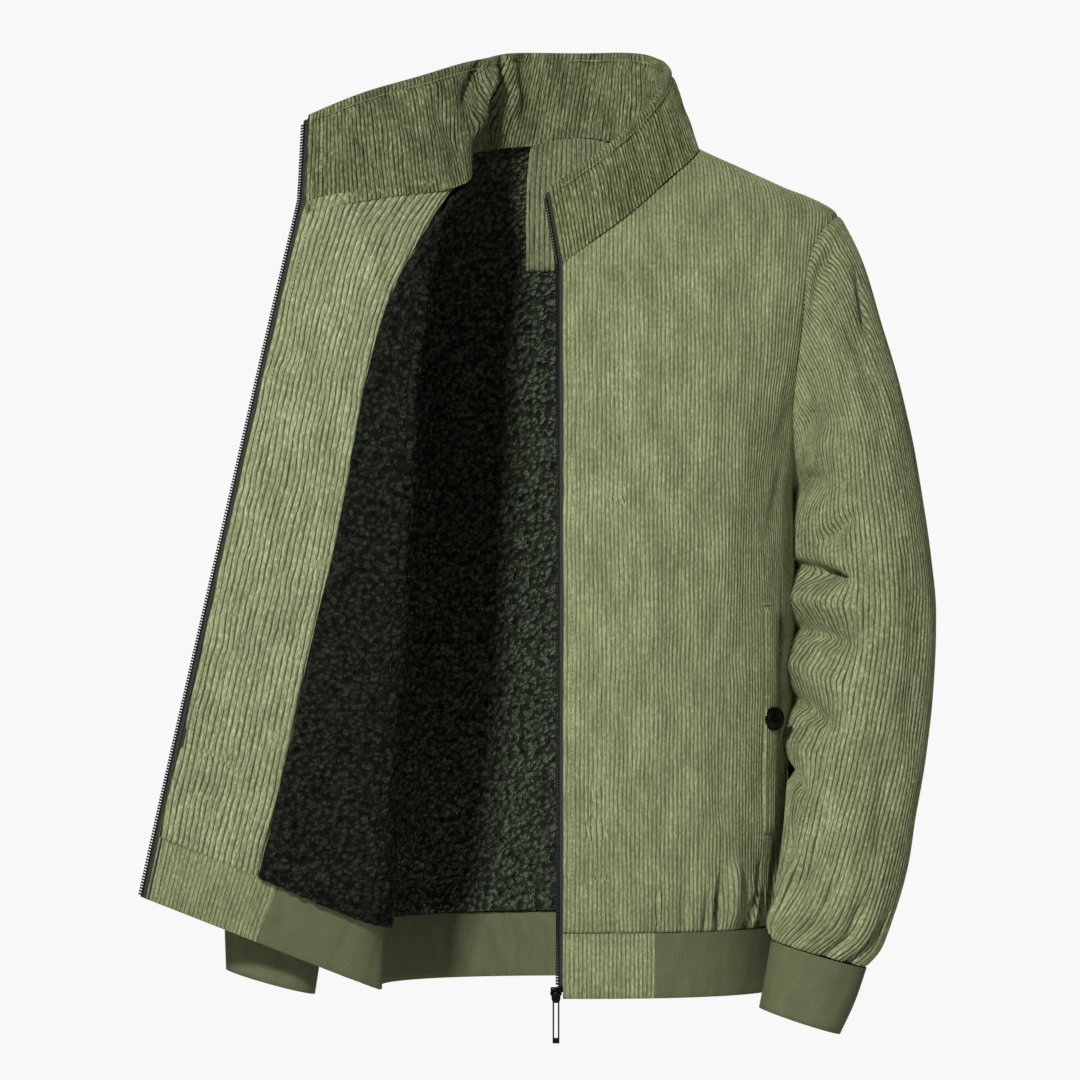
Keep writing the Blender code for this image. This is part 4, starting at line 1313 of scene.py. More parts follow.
@dataclass(frozen=True)
class PocketPlace:
    """A slanted pocket's place on its front, in metres.

    Attributes:
        near_x: the welt's inner edge, from the body's middle line.
        lift: how far the cloth under the welt stands off the form.
        opening_shade_strength: how strong the painted shade in the opening is, from 0 to 1.
        opening_turn: how far its foot turns in under the snap.
        opening_top, opening_foot: where it ends, under the welt's top and under the snap.
    """

    top: float = -0.372
    bottom: float = -0.556
    near_x: float = 0.147
    width: float = 0.018
    lift: float = 0.9 * MM
    button_z: float = -0.462
    opening_arc: float = 0.1965
    opening_width: float = 4.2 * MM
    opening_sway: float = 0.6 * MM
    sway_length: float = 16 * MM
    opening_shade_strength: float = 0.95
    opening_turn: float = 6.0 * MM
    opening_top: float = 4.0 * MM
    top_fade: float = 6.0 * MM
    opening_foot: float = 16 * MM
    foot_fade: float = 4.0 * MM
    turn_start: float = 4.0 * MM
    turn_length: float = 12 * MM

    def opening_shade(self, arc: Array, z: Array) -> Array:
        """Measures the painted shade that the opening puts on the cloth.

        Args:
            arc, z: pattern places.

        Returns:
            Painted shade from 0 to 1.
        """
        near_top = np.clip((self.top - self.opening_top - z) / self.top_fade, 0, 1)
        near_foot = np.clip((z - self.button_z + self.opening_foot) / self.foot_fade, 0, 1)
        foot = np.clip((self.button_z - self.turn_start - z) / self.turn_length, 0, 1)
        line = self.opening_arc + self.opening_sway * np.sin(z / self.sway_length)
        line = line - self.opening_turn * foot ** 2
        return self.opening_shade_strength * near_top * near_foot * bell(arc - line, self.opening_width)


POCKETS = {1: PocketPlace(), -1: PocketPlace(near_x=0.152, lift=2.7 * MM)}
SIDES = {"left": 1, "right": -1}


@dataclass
class Fronts(JacketPart):
    """Both corduroy fronts, their facings and their pile linings."""

    wale: float = 0.75 * MM
    facing_wale: float = 0.85 * MM
    turned: tuple[float, ...] = (4.7 * MM, 3.0 * MM, 1.2 * MM)
    fine: tuple[float, ...] = FINE_ROWS
    height: float = 0.56
    facing_end: float = 0.096
    pile_gap: float = 0.6 * MM
    left_creases: tuple[Crease, ...] = folds(
        (197.5, -566, 196.5, -366, 3, 2.4, -1), (116.5, -634, 119.5, -585, 2.8, 6, 2),
        (141.5, -634, 163, -578, 2.8, 6.5, -3), (160, -632, 170, -600, 2.4, 4),
        (129, -628, 133, -570, 6, -4), (152, -626, 158, -590, 5, -3.5), (104, -632, 106, -600, 3, 3),
        (86, -632, 84, -598, 3.6, 2.2), (64, -632, 66, -590, 4, 2), (30, -632, 29, -600, 3.6, 1.6),
        (178, -620, 190, -560, 3.6, 4), (200, -622, 204, -575, 3.4, 4), (218, -622, 214, -580, 3.4, 4),
        (198, -200, 150, -290, 13, 1.4, 6), (200, -240, 166, -330, 11, 1.2, 4),
        (150, -330, 120, -440, 13, 1.2, 6), (138, -250, 110, -370, 15, -1.3),
        (20, -150, 30, -330, 16, 1.8, 5), (50, -300, 56, -520, 19, -2, 6),
        (95, -90, 150, -150, 12, 2, 4), (85, -330, 78, -500, 13, 1.8, -5),
        (112, -455, 124, -560, 10, 1.8), (10, -480, 16, -590, 9, 1.4),
    )
    right_creases: tuple[Crease, ...] = folds(
        (195, -632, 201, -575, 3.6, 4), (213, -632, 208, -585, 3.2, 3.8), (170, -632, 162, -580, 4, 3),
        (135, -632, 140, -590, 4, 2.4), (100, -632, 96, -585, 4.5, 2.2), (50, -632, 54, -595, 4, 1.8),
        (20, -560, 70, -500, 11, 1.6), (30, -420, 100, -330, 15, 1.8, 5), (20, -200, 75, -270, 12, 1.4),
        (185, -210, 150, -300, 9, 3),
    )
    facing_creases: tuple[Crease, ...] = folds(
        (-12, -616, 70, -622, 3, 1.6), (-4, -590, 30, -585, 4.5, 1.4, 2),
        (-6, -548, 48, -556, 5, 1.5, 2), (10, -520, 64, -512, 5, 1.2, 2),
        (-8, -478, 34, -484, 4.5, 1.4, -2), (6, -440, 66, -446, 5.5, 1.5, 3),
        (-8, -404, 40, -396, 4.5, 1.3), (12, -362, 68, -370, 5, 1.4, -3),
        (-8, -330, 34, -322, 4.5, 1.4), (0, -288, 60, -296, 5.5, 1.4, 3), (-8, -246, 44, -236, 5, 1.4),
        (14, -200, 72, -212, 5, 1.3), (-6, -160, 40, -152, 5, 1.4), (46, -98, 84, -150, 5, 2.2, 3),
        (66, -92, 98, -122, 4, 2.2),
    )

    def facing_edge(self, z: Array) -> Array:
        """The facing's inner edge at heights."""
        part = (z - FORM.hem_z) / (FORM.neck_side_z - FORM.hem_z)
        return FORM.zip_edge + smooth_column(FACING_WIDTHS, "width", "part", part)

    def pile_edge(self, z: Array) -> Array:
        """The pile's edge beside the facing at heights."""
        return self.facing_edge(z) + self.pile_gap

    def build(self) -> None:
        """Makes the six pieces."""
        rows = spread(0.0, 1.0, SIZES.row / self.height, self.fine)
        for name, side in SIDES.items():
            self.front(name, side, rows)
            self.facing(name, side, rows)
            slack = 0.0 if side > 0 else SIZES.right_slack
            depth, seed = SIZES.facing_depth + slack, 21 if side > 0 else 33
            pile = PileLining(FORM.front(side), Face.FRONT, side, depth, seed)
            piece = pile.grid(self.pile_edge).build(f"pile_lining_{name}", self.collection)
            self.give(piece, Look.PILE, "pile_lining", [f"lining_{name}"], Declared((0.185, 0.63), 0.089))

    def front(self, name: str, side: int, rows: Array) -> None:
        """Makes one corduroy front, with painted shade in its pocket's opening.

        Args:
            name, side: "left" and 1, or "right" and -1.
            rows: shares of the height.
        """
        pitch = Look.FRONT.value.pitch
        end = FORM.widest_arc(Face.FRONT) + SIZES.edge
        columns = np.arange(FORM.zip_edge, end, pitch / SIZES.per_wale)
        cut = PanelCut(FORM.front(side), Face.FRONT, side, pitch, self.wale,
                       self.left_creases if side > 0 else self.right_creases, turned=self.turned,
                       bulge=SIZES.side_bulge if side > 0 else 0.0)
        cloth = cut.grid(columns, rows)
        # painted shade in the pocket's opening, carried as the tone
        cloth.tone = PocketPlace().opening_shade(cloth.uv[..., 0] + FORM.zip_edge, cloth.points[..., 2])
        piece = cloth.build(f"corduroy_front_{name}", self.collection)
        self.give(piece, Look.FRONT, "corduroy", [f"front_{name}"], Declared((0.262, 0.63), 0.135))

    def facing(self, name: str, side: int, rows: Array) -> None:
        """Makes one corduroy facing.

        Args:
            name, side: "left" and 1, or "right" and -1.
            rows: shares of the height.
        """
        pitch = Look.FACING.value.pitch
        columns = np.arange(FORM.zip_edge, self.facing_end, pitch / SIZES.per_wale)
        cut = PanelCut(FORM.front(side), Face.FRONT, side, pitch, self.facing_wale, self.facing_creases,
                       depth=SIZES.facing_depth + SIZES.cloth, inside=True, seed=3, swell=1.7 * MM,
                       wander=0.34, strength=2.0)
        piece = cut.grid(columns, rows, self.facing_edge).build(f"corduroy_facing_{name}", self.collection)
        self.give(piece, Look.FACING, "corduroy_inside", [f"facing_{name}"], Declared((0.104, 0.53), 0.046))


@dataclass(frozen=True)
class PileLining:
    """Deep curled pile on the inside of a panel: packed tufts in real relief."""

    surface: Surface
    face: Face
    flip: int
    depth: float
    seed: int
    both_sides: bool = False
    tuft: float = 6.4 * MM
    curl: float = 3.8 * MM
    tuft_height: float = 3.4 * MM
    curl_height: float = 2.0 * MM
    rough_height: float = 0.8 * MM
    sway_height: float = 1.0 * MM
    ground: float = 1.8 * MM
    front_start: float = 0.07
    thin_edge: float = 3.0 * MM
    height: float = 0.64

    def grid(self, left: Edge | None = None) -> ClothGrid:
        """Lays the pile's visible side.

        Args:
            left: its edge at its lesser lengths, if it isn't the other side.

        Returns:
            The relief in place, with the tufts' heights as its tone.
        """
        end = FORM.widest_arc(self.face)
        start = -end if self.both_sides else FORM.zip_edge + self.front_start
        columns = np.arange(start, end + SIZES.pile_step, SIZES.pile_step)
        rows = np.linspace(0, 1, int(self.height / SIZES.pile_step))
        plain = down_columns(columns, len(rows))
        high = FORM.panel_top(columns, self.face)[:, None]
        z = FORM.hem_z + (high - FORM.hem_z) * rows[None, :]
        side = FORM.side_arc(z, self.face)
        low = left(z) if left else -side
        keep = (plain > low - TINY) & (plain < side + TINY)
        arc = np.clip(plain, low, side)
        base = self.surface(arc, z)
        normal = outward(self.surface, arc, z, self.flip)
        v = run_length(base, 1)
        big, small = tufts(plain, v, self.tuft, self.seed), tufts(plain, v, self.curl, self.seed + 40)
        rough, sway = cloud(plain, v, 0.0035, self.seed + 60), cloud(plain, v, 0.03, self.seed + 80)
        lift = self.tuft_height * big + self.curl_height * small
        lift = lift + self.rough_height * rough + self.sway_height * sway
        lift = lift * np.clip(np.minimum(arc - low, side - arc) / self.thin_edge, 0.15, 1.0)
        points = base - normal * (self.depth + self.ground + lift)[..., None]
        # the tufts' heights, which place the pile's painted shade
        tone = np.clip(0.62 * big + 0.38 * small + 0.15 * rough, 0, 1)
        return ClothGrid(points, np.stack([plain, v], axis=-1), keep, tone)


@dataclass
class Back(JacketPart):
    """The corduroy back and its pile lining."""

    wale: float = 0.75 * MM
    fine: tuple[float, ...] = FINE_ROWS
    height: float = 0.62
    creases: tuple[Crease, ...] = folds(
        (-225, -622, -215, -560, 4, 4), (-205, -624, -210, -580, 3.2, 3.2),
        (-170, -622, -160, -560, 4.5, 3), (-120, -624, -124, -585, 4, 2.2),
        (-60, -622, -50, -570, 5, 2), (10, -624, 4, -580, 4.5, 1.8), (70, -622, 78, -565, 5, 2.2),
        (130, -624, 124, -580, 4, 2.6), (175, -622, 168, -555, 4.5, 3.2),
        (210, -624, 216, -575, 3.5, 3.8), (228, -622, 222, -585, 3, 3.4),
        (-185, -230, -120, -330, 12, 3), (185, -225, 110, -340, 13, 3), (-90, -110, 30, -140, 16, 1.8),
        (-110, -440, 60, -470, 18, 2.2), (150, -430, 10, -520, 16, 2),
    )

    def build(self) -> None:
        """Makes the two pieces."""
        pitch = Look.BACK.value.pitch
        rows = spread(0.0, 1.0, SIZES.row / self.height, self.fine)
        end = FORM.widest_arc(Face.BACK) + SIZES.edge
        half = np.arange(0.0, end, pitch / SIZES.per_wale)
        columns = np.concatenate([-half[:0:-1], half])
        cut = PanelCut(FORM.back, Face.BACK, -1, pitch, self.wale, self.creases, both_sides=True, seed=17,
                       bulge=SIZES.side_bulge)
        piece = cut.grid(columns, rows).build("corduroy_back", self.collection)
        self.give(piece, Look.BACK, "corduroy", ["back"], Declared((0.49, 0.64), 0.275))
        pile = PileLining(FORM.back, Face.BACK, -1, SIZES.facing_depth, 51, both_sides=True)
        piece = pile.grid().build("pile_lining_back", self.collection)
        self.give(piece, Look.PILE_BACK, "pile_lining", ["lining_back"], Declared((0.49, 0.64), 0.275))


@dataclass
class Sleeves(JacketPart):
    """Both corduroy sleeves."""

    rows: int = 108
    turns: int = 129
    wale: float = 0.9 * MM
    strength: float = 2.05
    fill: float = 18.5 * MM
    fill_width: float = 0.04
    fill_middle: float = 0.31
    fill_half: float = 0.13
    swell: float = 1.3 * MM
    head: float = 3.2 * MM
    head_width: float = 0.035
    dip: float = 1.0 * MM
    dip_width: float = 2.2 * MM
    tuck: float = 6.0 * MM
    tuck_out: float = 5.0 * MM
    allowance: float = 7.0 * MM
    front_creases: tuple[Crease, ...] = folds(
        (222, 266, 128, 298, 9, 6, 5), (172, 290, 118, 298, 5.5, 6.2, 3),
        (215, 312, 96, 332, 13.5, -5.8, 6), (212, 346, 110, 364, 8, 6.2, 5),
        (208, 380, 100, 406, 14, -5.2, 5), (205, 414, 118, 438, 8, 5.4, 4),
        (200, 448, 122, 478, 12.5, -3.6, 4), (196, 484, 130, 508, 7.5, 3.6, 3),
        (150, 250, 104, 226, 8, 3.6), (190, 20, 110, 130, 9, 3.6, 6), (200, 80, 140, 190, 10, 4, 6),
        (165, 70, 110, 180, 11, -3.4, 5), (34, 20, 116, 12, 5, 3, -4), (30, 44, 50, 90, 6, 3),
        (70, 40, 75, 200, 15, 2, 5), (60, 300, 40, 470, 14, 2.4, -6), (85, 420, 60, 560, 12, 2.4, 5),
        (110, 500, 120, 610, 8, 3.4, 3), (145, 540, 140, 640, 5.5, 4), (128, 570, 130, 645, 5, -3),
        (85, 575, 92, 645, 5, 3.6), (60, 585, 56, 648, 5, 3.4), (30, 590, 34, 648, 5, 3.4),
        (4, 595, 2, 648, 4.6, 3),
    )
    rear_creases: tuple[Crease, ...] = folds(
        (-205, 250, -110, 215, 9, 4.5, 5), (-200, 330, -100, 300, 10, 5, 5),
        (-195, 400, -110, 376, 9, 3.8), (-190, 40, -110, 150, 11, 4, 6),
        (-70, 120, -60, 300, 16, 2.2, 5), (-50, 420, -66, 560, 12, 2.4), (-30, 590, -28, 648, 5, 3.4),
        (-64, 580, -58, 648, 5, 3.4), (-100, 570, -92, 645, 5, 3.6), (-130, 580, -124, 648, 5, 3.2),
    )

    def build(self) -> None:
        """Makes the two sleeves."""
        for (name, side), rings in zip(SIDES.items(), (LEFT_RINGS, RIGHT_RINGS)):
            cloth = self.tube(SleeveForm(rings, side, FORM), side)
            piece = cloth.build(f"corduroy_sleeve_{name}", self.collection, closed=True)
            self.give(piece, Look.SLEEVE, "corduroy", [f"sleeve_{name}"], Declared((0.46, 0.62), 0.24))

    def relief(self, plain: Array, v: Array, half: Array, side: int) -> Array:
        """Measures how far the cloth rises.

        Args:
            plain: lengths round the sleeve from its outer line.
            v: lengths down it.
            half: half its girth at each row.
            side: 1 for the left, -1 for the right.

        Returns:
            Heights over the form.
        """
        lift = wale_height(plain, Look.SLEEVE.value.pitch, self.wale)
        lift = lift + self.strength * creases_height(self.front_creases + self.rear_creases, plain, v)
        inner = bell(np.abs(plain) - half, self.fill_width) * bell(v - self.fill_middle, self.fill_half)
        lift = lift + (self.fill if side > 0 else 0.0) * inner
        lift = lift + self.swell * cloud(plain, v, 0.05, 71 + side) + self.head * bell(v, self.head_width)
        ends = np.minimum(v - v[:, :1], v[:, -1:] - v)
        return lift - self.dip * bell(ends, self.dip_width)

    def tube(self, form: SleeveForm, side: int) -> ClothGrid:
        """Lays a sleeve's cloth: wales run down it, and the seam under the arm cuts them.

        Args:
            form: the sleeve's form.
            side: 1 for the left, -1 for the right.

        Returns:
            The cloth, its seam allowance tucked under the body.
        """
        pitch = Look.SLEEVE.value.pitch
        last = len(form.rings) - 1.0
        place = np.linspace(0.02, last, self.rows)
        place = np.unique(np.concatenate([place, [0.05, 0.12, last - 0.06, last - 0.14]]))
        turns = np.linspace(-math.pi, math.pi, self.turns)
        ring = form(turns[:, None], place[None, :])
        around = run_length(ring, 0)
        around = around - around[self.turns // 2]
        half = np.minimum(-around[0], around[-1])
        u = np.arange(0.0, float(half.max()) + SIZES.edge, pitch / SIZES.per_wale)
        plain = down_columns(np.concatenate([-u[:0:-1], u]), len(place))
        low, high = around[0][None, :], around[-1][None, :]
        keep = (plain > low - TINY) & (plain < high + TINY)
        v = np.broadcast_to(run_length(ring[self.turns // 2][None], 1)[0], plain.shape)
        wander = pitch * (0.18 * cloud(plain, v, 0.04, 61 + side) + 0.08 * cloud(plain, v, 0.015, 67 + side))
        shifted = np.clip(plain + np.where(keep, wander, 0), low, high)
        turn = np.stack([np.interp(shifted[:, r], around[:, r], turns) for r in range(len(place))], axis=1)
        places = np.broadcast_to(place, turn.shape)
        base = form(turn, places)
        normal = outward(form, turn, places, side, (0.01, 0.01))
        points = base + normal * self.relief(plain, v, high, side)[..., None]
        away = base[:, :1] - base[:, 1:2]
        away = away / np.maximum(np.linalg.norm(away, axis=-1, keepdims=True), 1e-9)
        tucked = points[:, :1] - normal[:, :1] * self.tuck + away * self.tuck_out
        points = np.concatenate([tucked, points], axis=1)
        uv = np.stack([plain, v], axis=-1)
        uv = np.concatenate([uv[:, :1] - (0.0, self.allowance), uv], axis=1)
        return ClothGrid(points, uv, np.concatenate([keep[:, :1], keep], axis=1))


@dataclass
class Collar(JacketPart):
    """The padded stand collar: corduroy outside and inside, sewn over its top edge."""

    wale: float = 1.0 * MM
    roll: float = 3.2 * MM
    band: float = 8.5 * MM
    end_band: float = 12 * MM
    band_depth: float = 1.6 * MM
    band_width: float = 1.6 * MM
    end_depth: float = 0.9 * MM
    end_width: float = 1.4 * MM
    strength: float = 2.1
    outside_share: float = 0.6
    allowance: tuple[float, ...] = (-0.14, -0.07)
    creases: tuple[Crease, ...] = folds(
        (406, 78, 384, 0, 5.5, 7, 2), (396, 80, 360, 10, 6, -3), (414, 72, 462, 20, 7.5, -6.5),
        (434, 82, 470, 52, 5, 4), (500, 70, 476, 10, 9, 2.2), (548, 60, 530, 10, 10, -2),
        (300, 78, 296, 10, 8, 2.6), (340, 76, 322, 20, 7, -2.6), (240, 78, 250, 10, 7, 3),
        (190, 70, 176, 6, 9, 2.4), (120, 70, 80, 30, 10, -2), (70, 60, 36, 20, 8, 2),
    )

    def build(self) -> None:
        """Makes the two faces of the collar."""
        length = float(run_length(FORM.neck_seam(), 0)[-1])
        columns = np.append(np.arange(0.0, length, Look.COLLAR.value.pitch / SIZES.per_wale), length)
        near_top = [0.86, 0.885, 0.905, 0.93, 0.96, 0.985, 1.0]
        rise = np.unique(np.concatenate([np.linspace(0.0, 0.9, 13), near_top]))
        cloth = Declared((0.62, 0.115), 0.06)
        piece = self.face(columns, rise, inside=False).build("corduroy_collar_outside", self.collection)
        self.give(piece, Look.COLLAR, "corduroy", ["collar_outside"], cloth)
        rise = np.concatenate([self.allowance, rise])
        piece = self.face(columns, rise, inside=True).build("corduroy_collar_inside", self.collection)
        self.give(piece, Look.COLLAR_INSIDE, "corduroy_inside", ["collar_inside"], cloth)

    def face(self, columns: Array, rise: Array, inside: bool) -> ClothGrid:
        """Lays one face, rolled over to the middle of the thickness at its top edge and its ends.

        Args:
            columns: lengths along the neck seam.
            rise: shares of the height.
            inside: whether it faces the neck.

        Returns:
            The face's cloth.
        """
        length = columns[-1]
        part = columns / length
        half = SIZES.collar_wall + SIZES.seam / 2
        p, r = np.meshgrid(part, rise, indexing="ij")
        base = FORM.collar(p, r)
        normal = outward(FORM.collar, np.clip(p, 0.002, 0.998), r, 1, (0.002, 0.01))
        rising = FORM.collar(part, np.ones_like(part)) - FORM.collar(part, np.zeros_like(part))
        tall = np.linalg.norm(rising, axis=-1)[:, None]
        from_top = (1 - r) * tall
        from_end = np.minimum(p, 1 - p) * length
        round_by = rolled(from_top, self.roll) * rolled(from_end, self.roll)
        u, v = down_columns(columns, len(rise)), r * tall
        lift = wale_height(u, Look.COLLAR.value.pitch, self.wale)
        lift = lift - self.band_depth * bell(from_top - self.band, self.band_width)
        lift = lift - self.end_depth * bell(from_end - self.end_band, self.end_width)
        lift = lift + 0.0015 * cloud(u, v, 0.03, 91 + inside) + 0.0005 * cloud(u, v, 0.011, 95 + inside)
        creased = self.strength * creases_height(self.creases, u, v)
        lift = lift + (creased if inside else -self.outside_share * creased)
        risen = half * round_by + lift * round_by
        offset = -half - risen if inside else -half + risen
        return ClothGrid(base + normal * offset[..., None], np.stack([u, v], axis=-1))


def fold_profile() -> tuple[Array, Array]:
    """Draws a folded rib's cross-section: down its outside, round its fold and up its inside.

    Returns:
        Shares of its height, and shares of its thickness.
    """
    drop = np.concatenate([np.linspace(0, 1, 11), [1.0, 1.0, 1.0], np.linspace(1, 0, 11)])
    deep = np.concatenate([np.zeros(11), [0.18, 0.5, 0.82], np.ones(11)])
    return drop, deep


@dataclass
class Waistband(JacketPart):
    """The folded rib waistband and its two corduroy ends."""

    step: float = 4.2 * MM
    wale: float = 0.7 * MM
    round_fold: tuple[float, ...] = (0.0, 0.5 * MM, 0.7 * MM, 0.5 * MM, 0.0)
    fold_gap: float = 0.6 * MM

    def build(self) -> None:
        """Makes the rib and its corduroy ends."""
        front_end = float(FORM.full_arc(np.array(FORM.hem_z), Face.FRONT))
        back_end = float(FORM.full_arc(np.array(FORM.hem_z), Face.BACK))
        left = spread(SIZES.band_end_left, front_end, self.step)
        behind = -spread(-back_end, back_end, self.step)[1:-1]
        right = spread(SIZES.band_end_right, front_end, self.step)[::-1]
        stretches = [
            self.profile(FORM.left_front, 1, Face.FRONT, left),
            self.profile(FORM.back, -1, Face.BACK, behind),
            self.profile(FORM.right_front, -1, Face.FRONT, right),
        ]
        points = np.concatenate([stretch.points for stretch in stretches])
        v = np.broadcast_to(stretches[0].uv[:1, :, 1], points.shape[:2])
        u = np.broadcast_to(run_length(points, 0)[:, :1], v.shape)
        piece = ClothGrid(points, np.stack([u, v], axis=-1)).build("rib_waistband", self.collection)
        self.give(piece, Look.RIB, "rib_knit", ["waist_rib"], Declared((0.8, 0.104), 0.083, "gathered"))
        for (name, side), stop in zip(SIDES.items(), (SIZES.band_end_left, SIZES.band_end_right)):
            wide = stop - FORM.zip_edge
            arcs = np.arange(FORM.zip_edge, stop, Look.FRONT.value.pitch / SIZES.per_wale)
            grid = self.profile(FORM.front(side), side, Face.FRONT, arcs, wales=True)
            piece = grid.build(f"corduroy_band_end_{name}", self.collection)
            self.give(piece, Look.FRONT, "corduroy", [f"band_end_{name}"],
                      Declared((wide + 0.001, 0.106), wide * 0.104, "folded"))

    def profile(self, surface: Surface, flip: int, face: Face, arcs: Array, wales: bool = False) -> ClothGrid:
        """Lays a stretch of the folded band.

        Args:
            surface: lays the pattern on the body.
            flip: 1 or -1, so that normals face out.
            face: front or back.
            arcs: lengths from the middle line, at the hem.
            wales: whether it is corduroy, which keeps its lengths, and not rib, which draws in.

        Returns:
            The stretch's cloth.
        """
        drop, deep = fold_profile()
        z = FORM.hem_z + (FORM.band_z + self.fold_gap - FORM.hem_z) * drop
        z[10:15] -= np.array(self.round_fold)
        share = FORM.full_arc(z, face) / FORM.full_arc(np.array(FORM.hem_z), face)
        flat = down_columns(arcs, len(z)) if wales else arcs[:, None] * share[None, :]
        level = np.broadcast_to(z, flat.shape)
        base = surface(flat, level)
        normal = outward(surface, flat, level, flip)
        pitch = Look.FRONT.value.pitch
        lift = wale_height(flat - FORM.zip_edge, pitch, self.wale) if wales else np.zeros(flat.shape)
        points = base - normal * (deep * SIZES.rib - lift * (1 - 2 * deep))[..., None]
        v = np.broadcast_to(run_length(points[0], 0), flat.shape)
        return ClothGrid(points, np.stack([flat, v], axis=-1))


@dataclass
class Cuffs(JacketPart):
    """Both folded rib cuffs."""

    turns: int = 121

    def build(self) -> None:
        """Makes the two cuffs."""
        drop, deep = fold_profile()
        for (name, side), rings in zip(SIDES.items(), (LEFT_CUFF_RINGS, RIGHT_CUFF_RINGS)):
            form = SleeveForm(rings, side)
            turns = np.linspace(-math.pi, math.pi, self.turns)
            turn, place = np.meshgrid(turns, drop * (len(rings) - 1), indexing="ij")
            normal = outward(form, turn, place, side, (0.01, 0.01))
            points = form(turn, place) - normal * (deep * SIZES.rib)[None, :, None]
            u, v = run_length(points, 0)[:, :1], run_length(points, 1)[:1]
            uv = np.stack(np.broadcast_arrays(u, v), axis=-1)
            piece = ClothGrid(points, uv).build(f"rib_cuff_{name}", self.collection, closed=True)
            self.give(piece, Look.RIB, "rib_knit", [f"cuff_{name}"],
                      Declared((0.19, 0.112), 0.021, "gathered"))


@dataclass
class NeckPatch(JacketPart):
    """The corduroy patch on the back lining, under the collar."""

    wale: float = 0.8 * MM
    stand: float = 2.8 * MM
    turned: float = 3.0 * MM
    turned_width: float = 1.8 * MM
    stitched: float = 6.0 * MM
    stitch_depth: float = 0.8 * MM
    stitch_width: float = 1.2 * MM
    swell: float = 1.0 * MM

    def build(self) -> None:
        """Makes the patch: a turned-edge sheet over the pile."""
        pitch = Look.FACING.value.pitch
        low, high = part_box("neck_patch")
        arcs = np.arange(low.x - FORM.centre_x, high.x - FORM.centre_x, pitch / SIZES.per_wale)
        share = np.unique(np.concatenate([np.linspace(0, 1, 26), [0.012, 0.988]]))
        arc = down_columns(arcs, len(share))
        z = low.z + (FORM.neck_height(arc, Face.BACK) - low.z) * share[None, :]
        base = FORM.back(arc, z)
        normal = outward(FORM.back, arc, z, -1)
        v = run_length(base, 1)
        edge = np.minimum(np.minimum(arc - arcs[0], arcs[-1] - arc), v)
        lift = wale_height(arc, pitch, self.wale) - self.turned * bell(edge, self.turned_width)
        lift = lift - self.stitch_depth * bell(edge - self.stitched, self.stitch_width)
        lift = lift + self.swell * cloud(arc, v, 0.03, 7)
        points = base - normal * (SIZES.patch_depth + SIZES.cloth + self.stand + lift)[..., None]
        piece = ClothGrid(points, np.stack([arc, v], axis=-1)).build("corduroy_neck_patch", self.collection)
        self.give(piece, Look.FACING, "corduroy_inside", ["neck_patch"],
                  Declared((0.084, 0.125), 0.0102, "laid"))


def front_arc(x: float, z: Array) -> Array:
    """Finds the arc where a front is a distance from the middle line.

    Args:
        x: the distance.
        z: heights.

    Returns:
        Lengths along the cloth.
    """
    across, _, length = FORM.quarter(np.atleast_1d(z), Face.FRONT)
    return np.array([np.interp(x, a, l) for a, l in zip(across, length)])


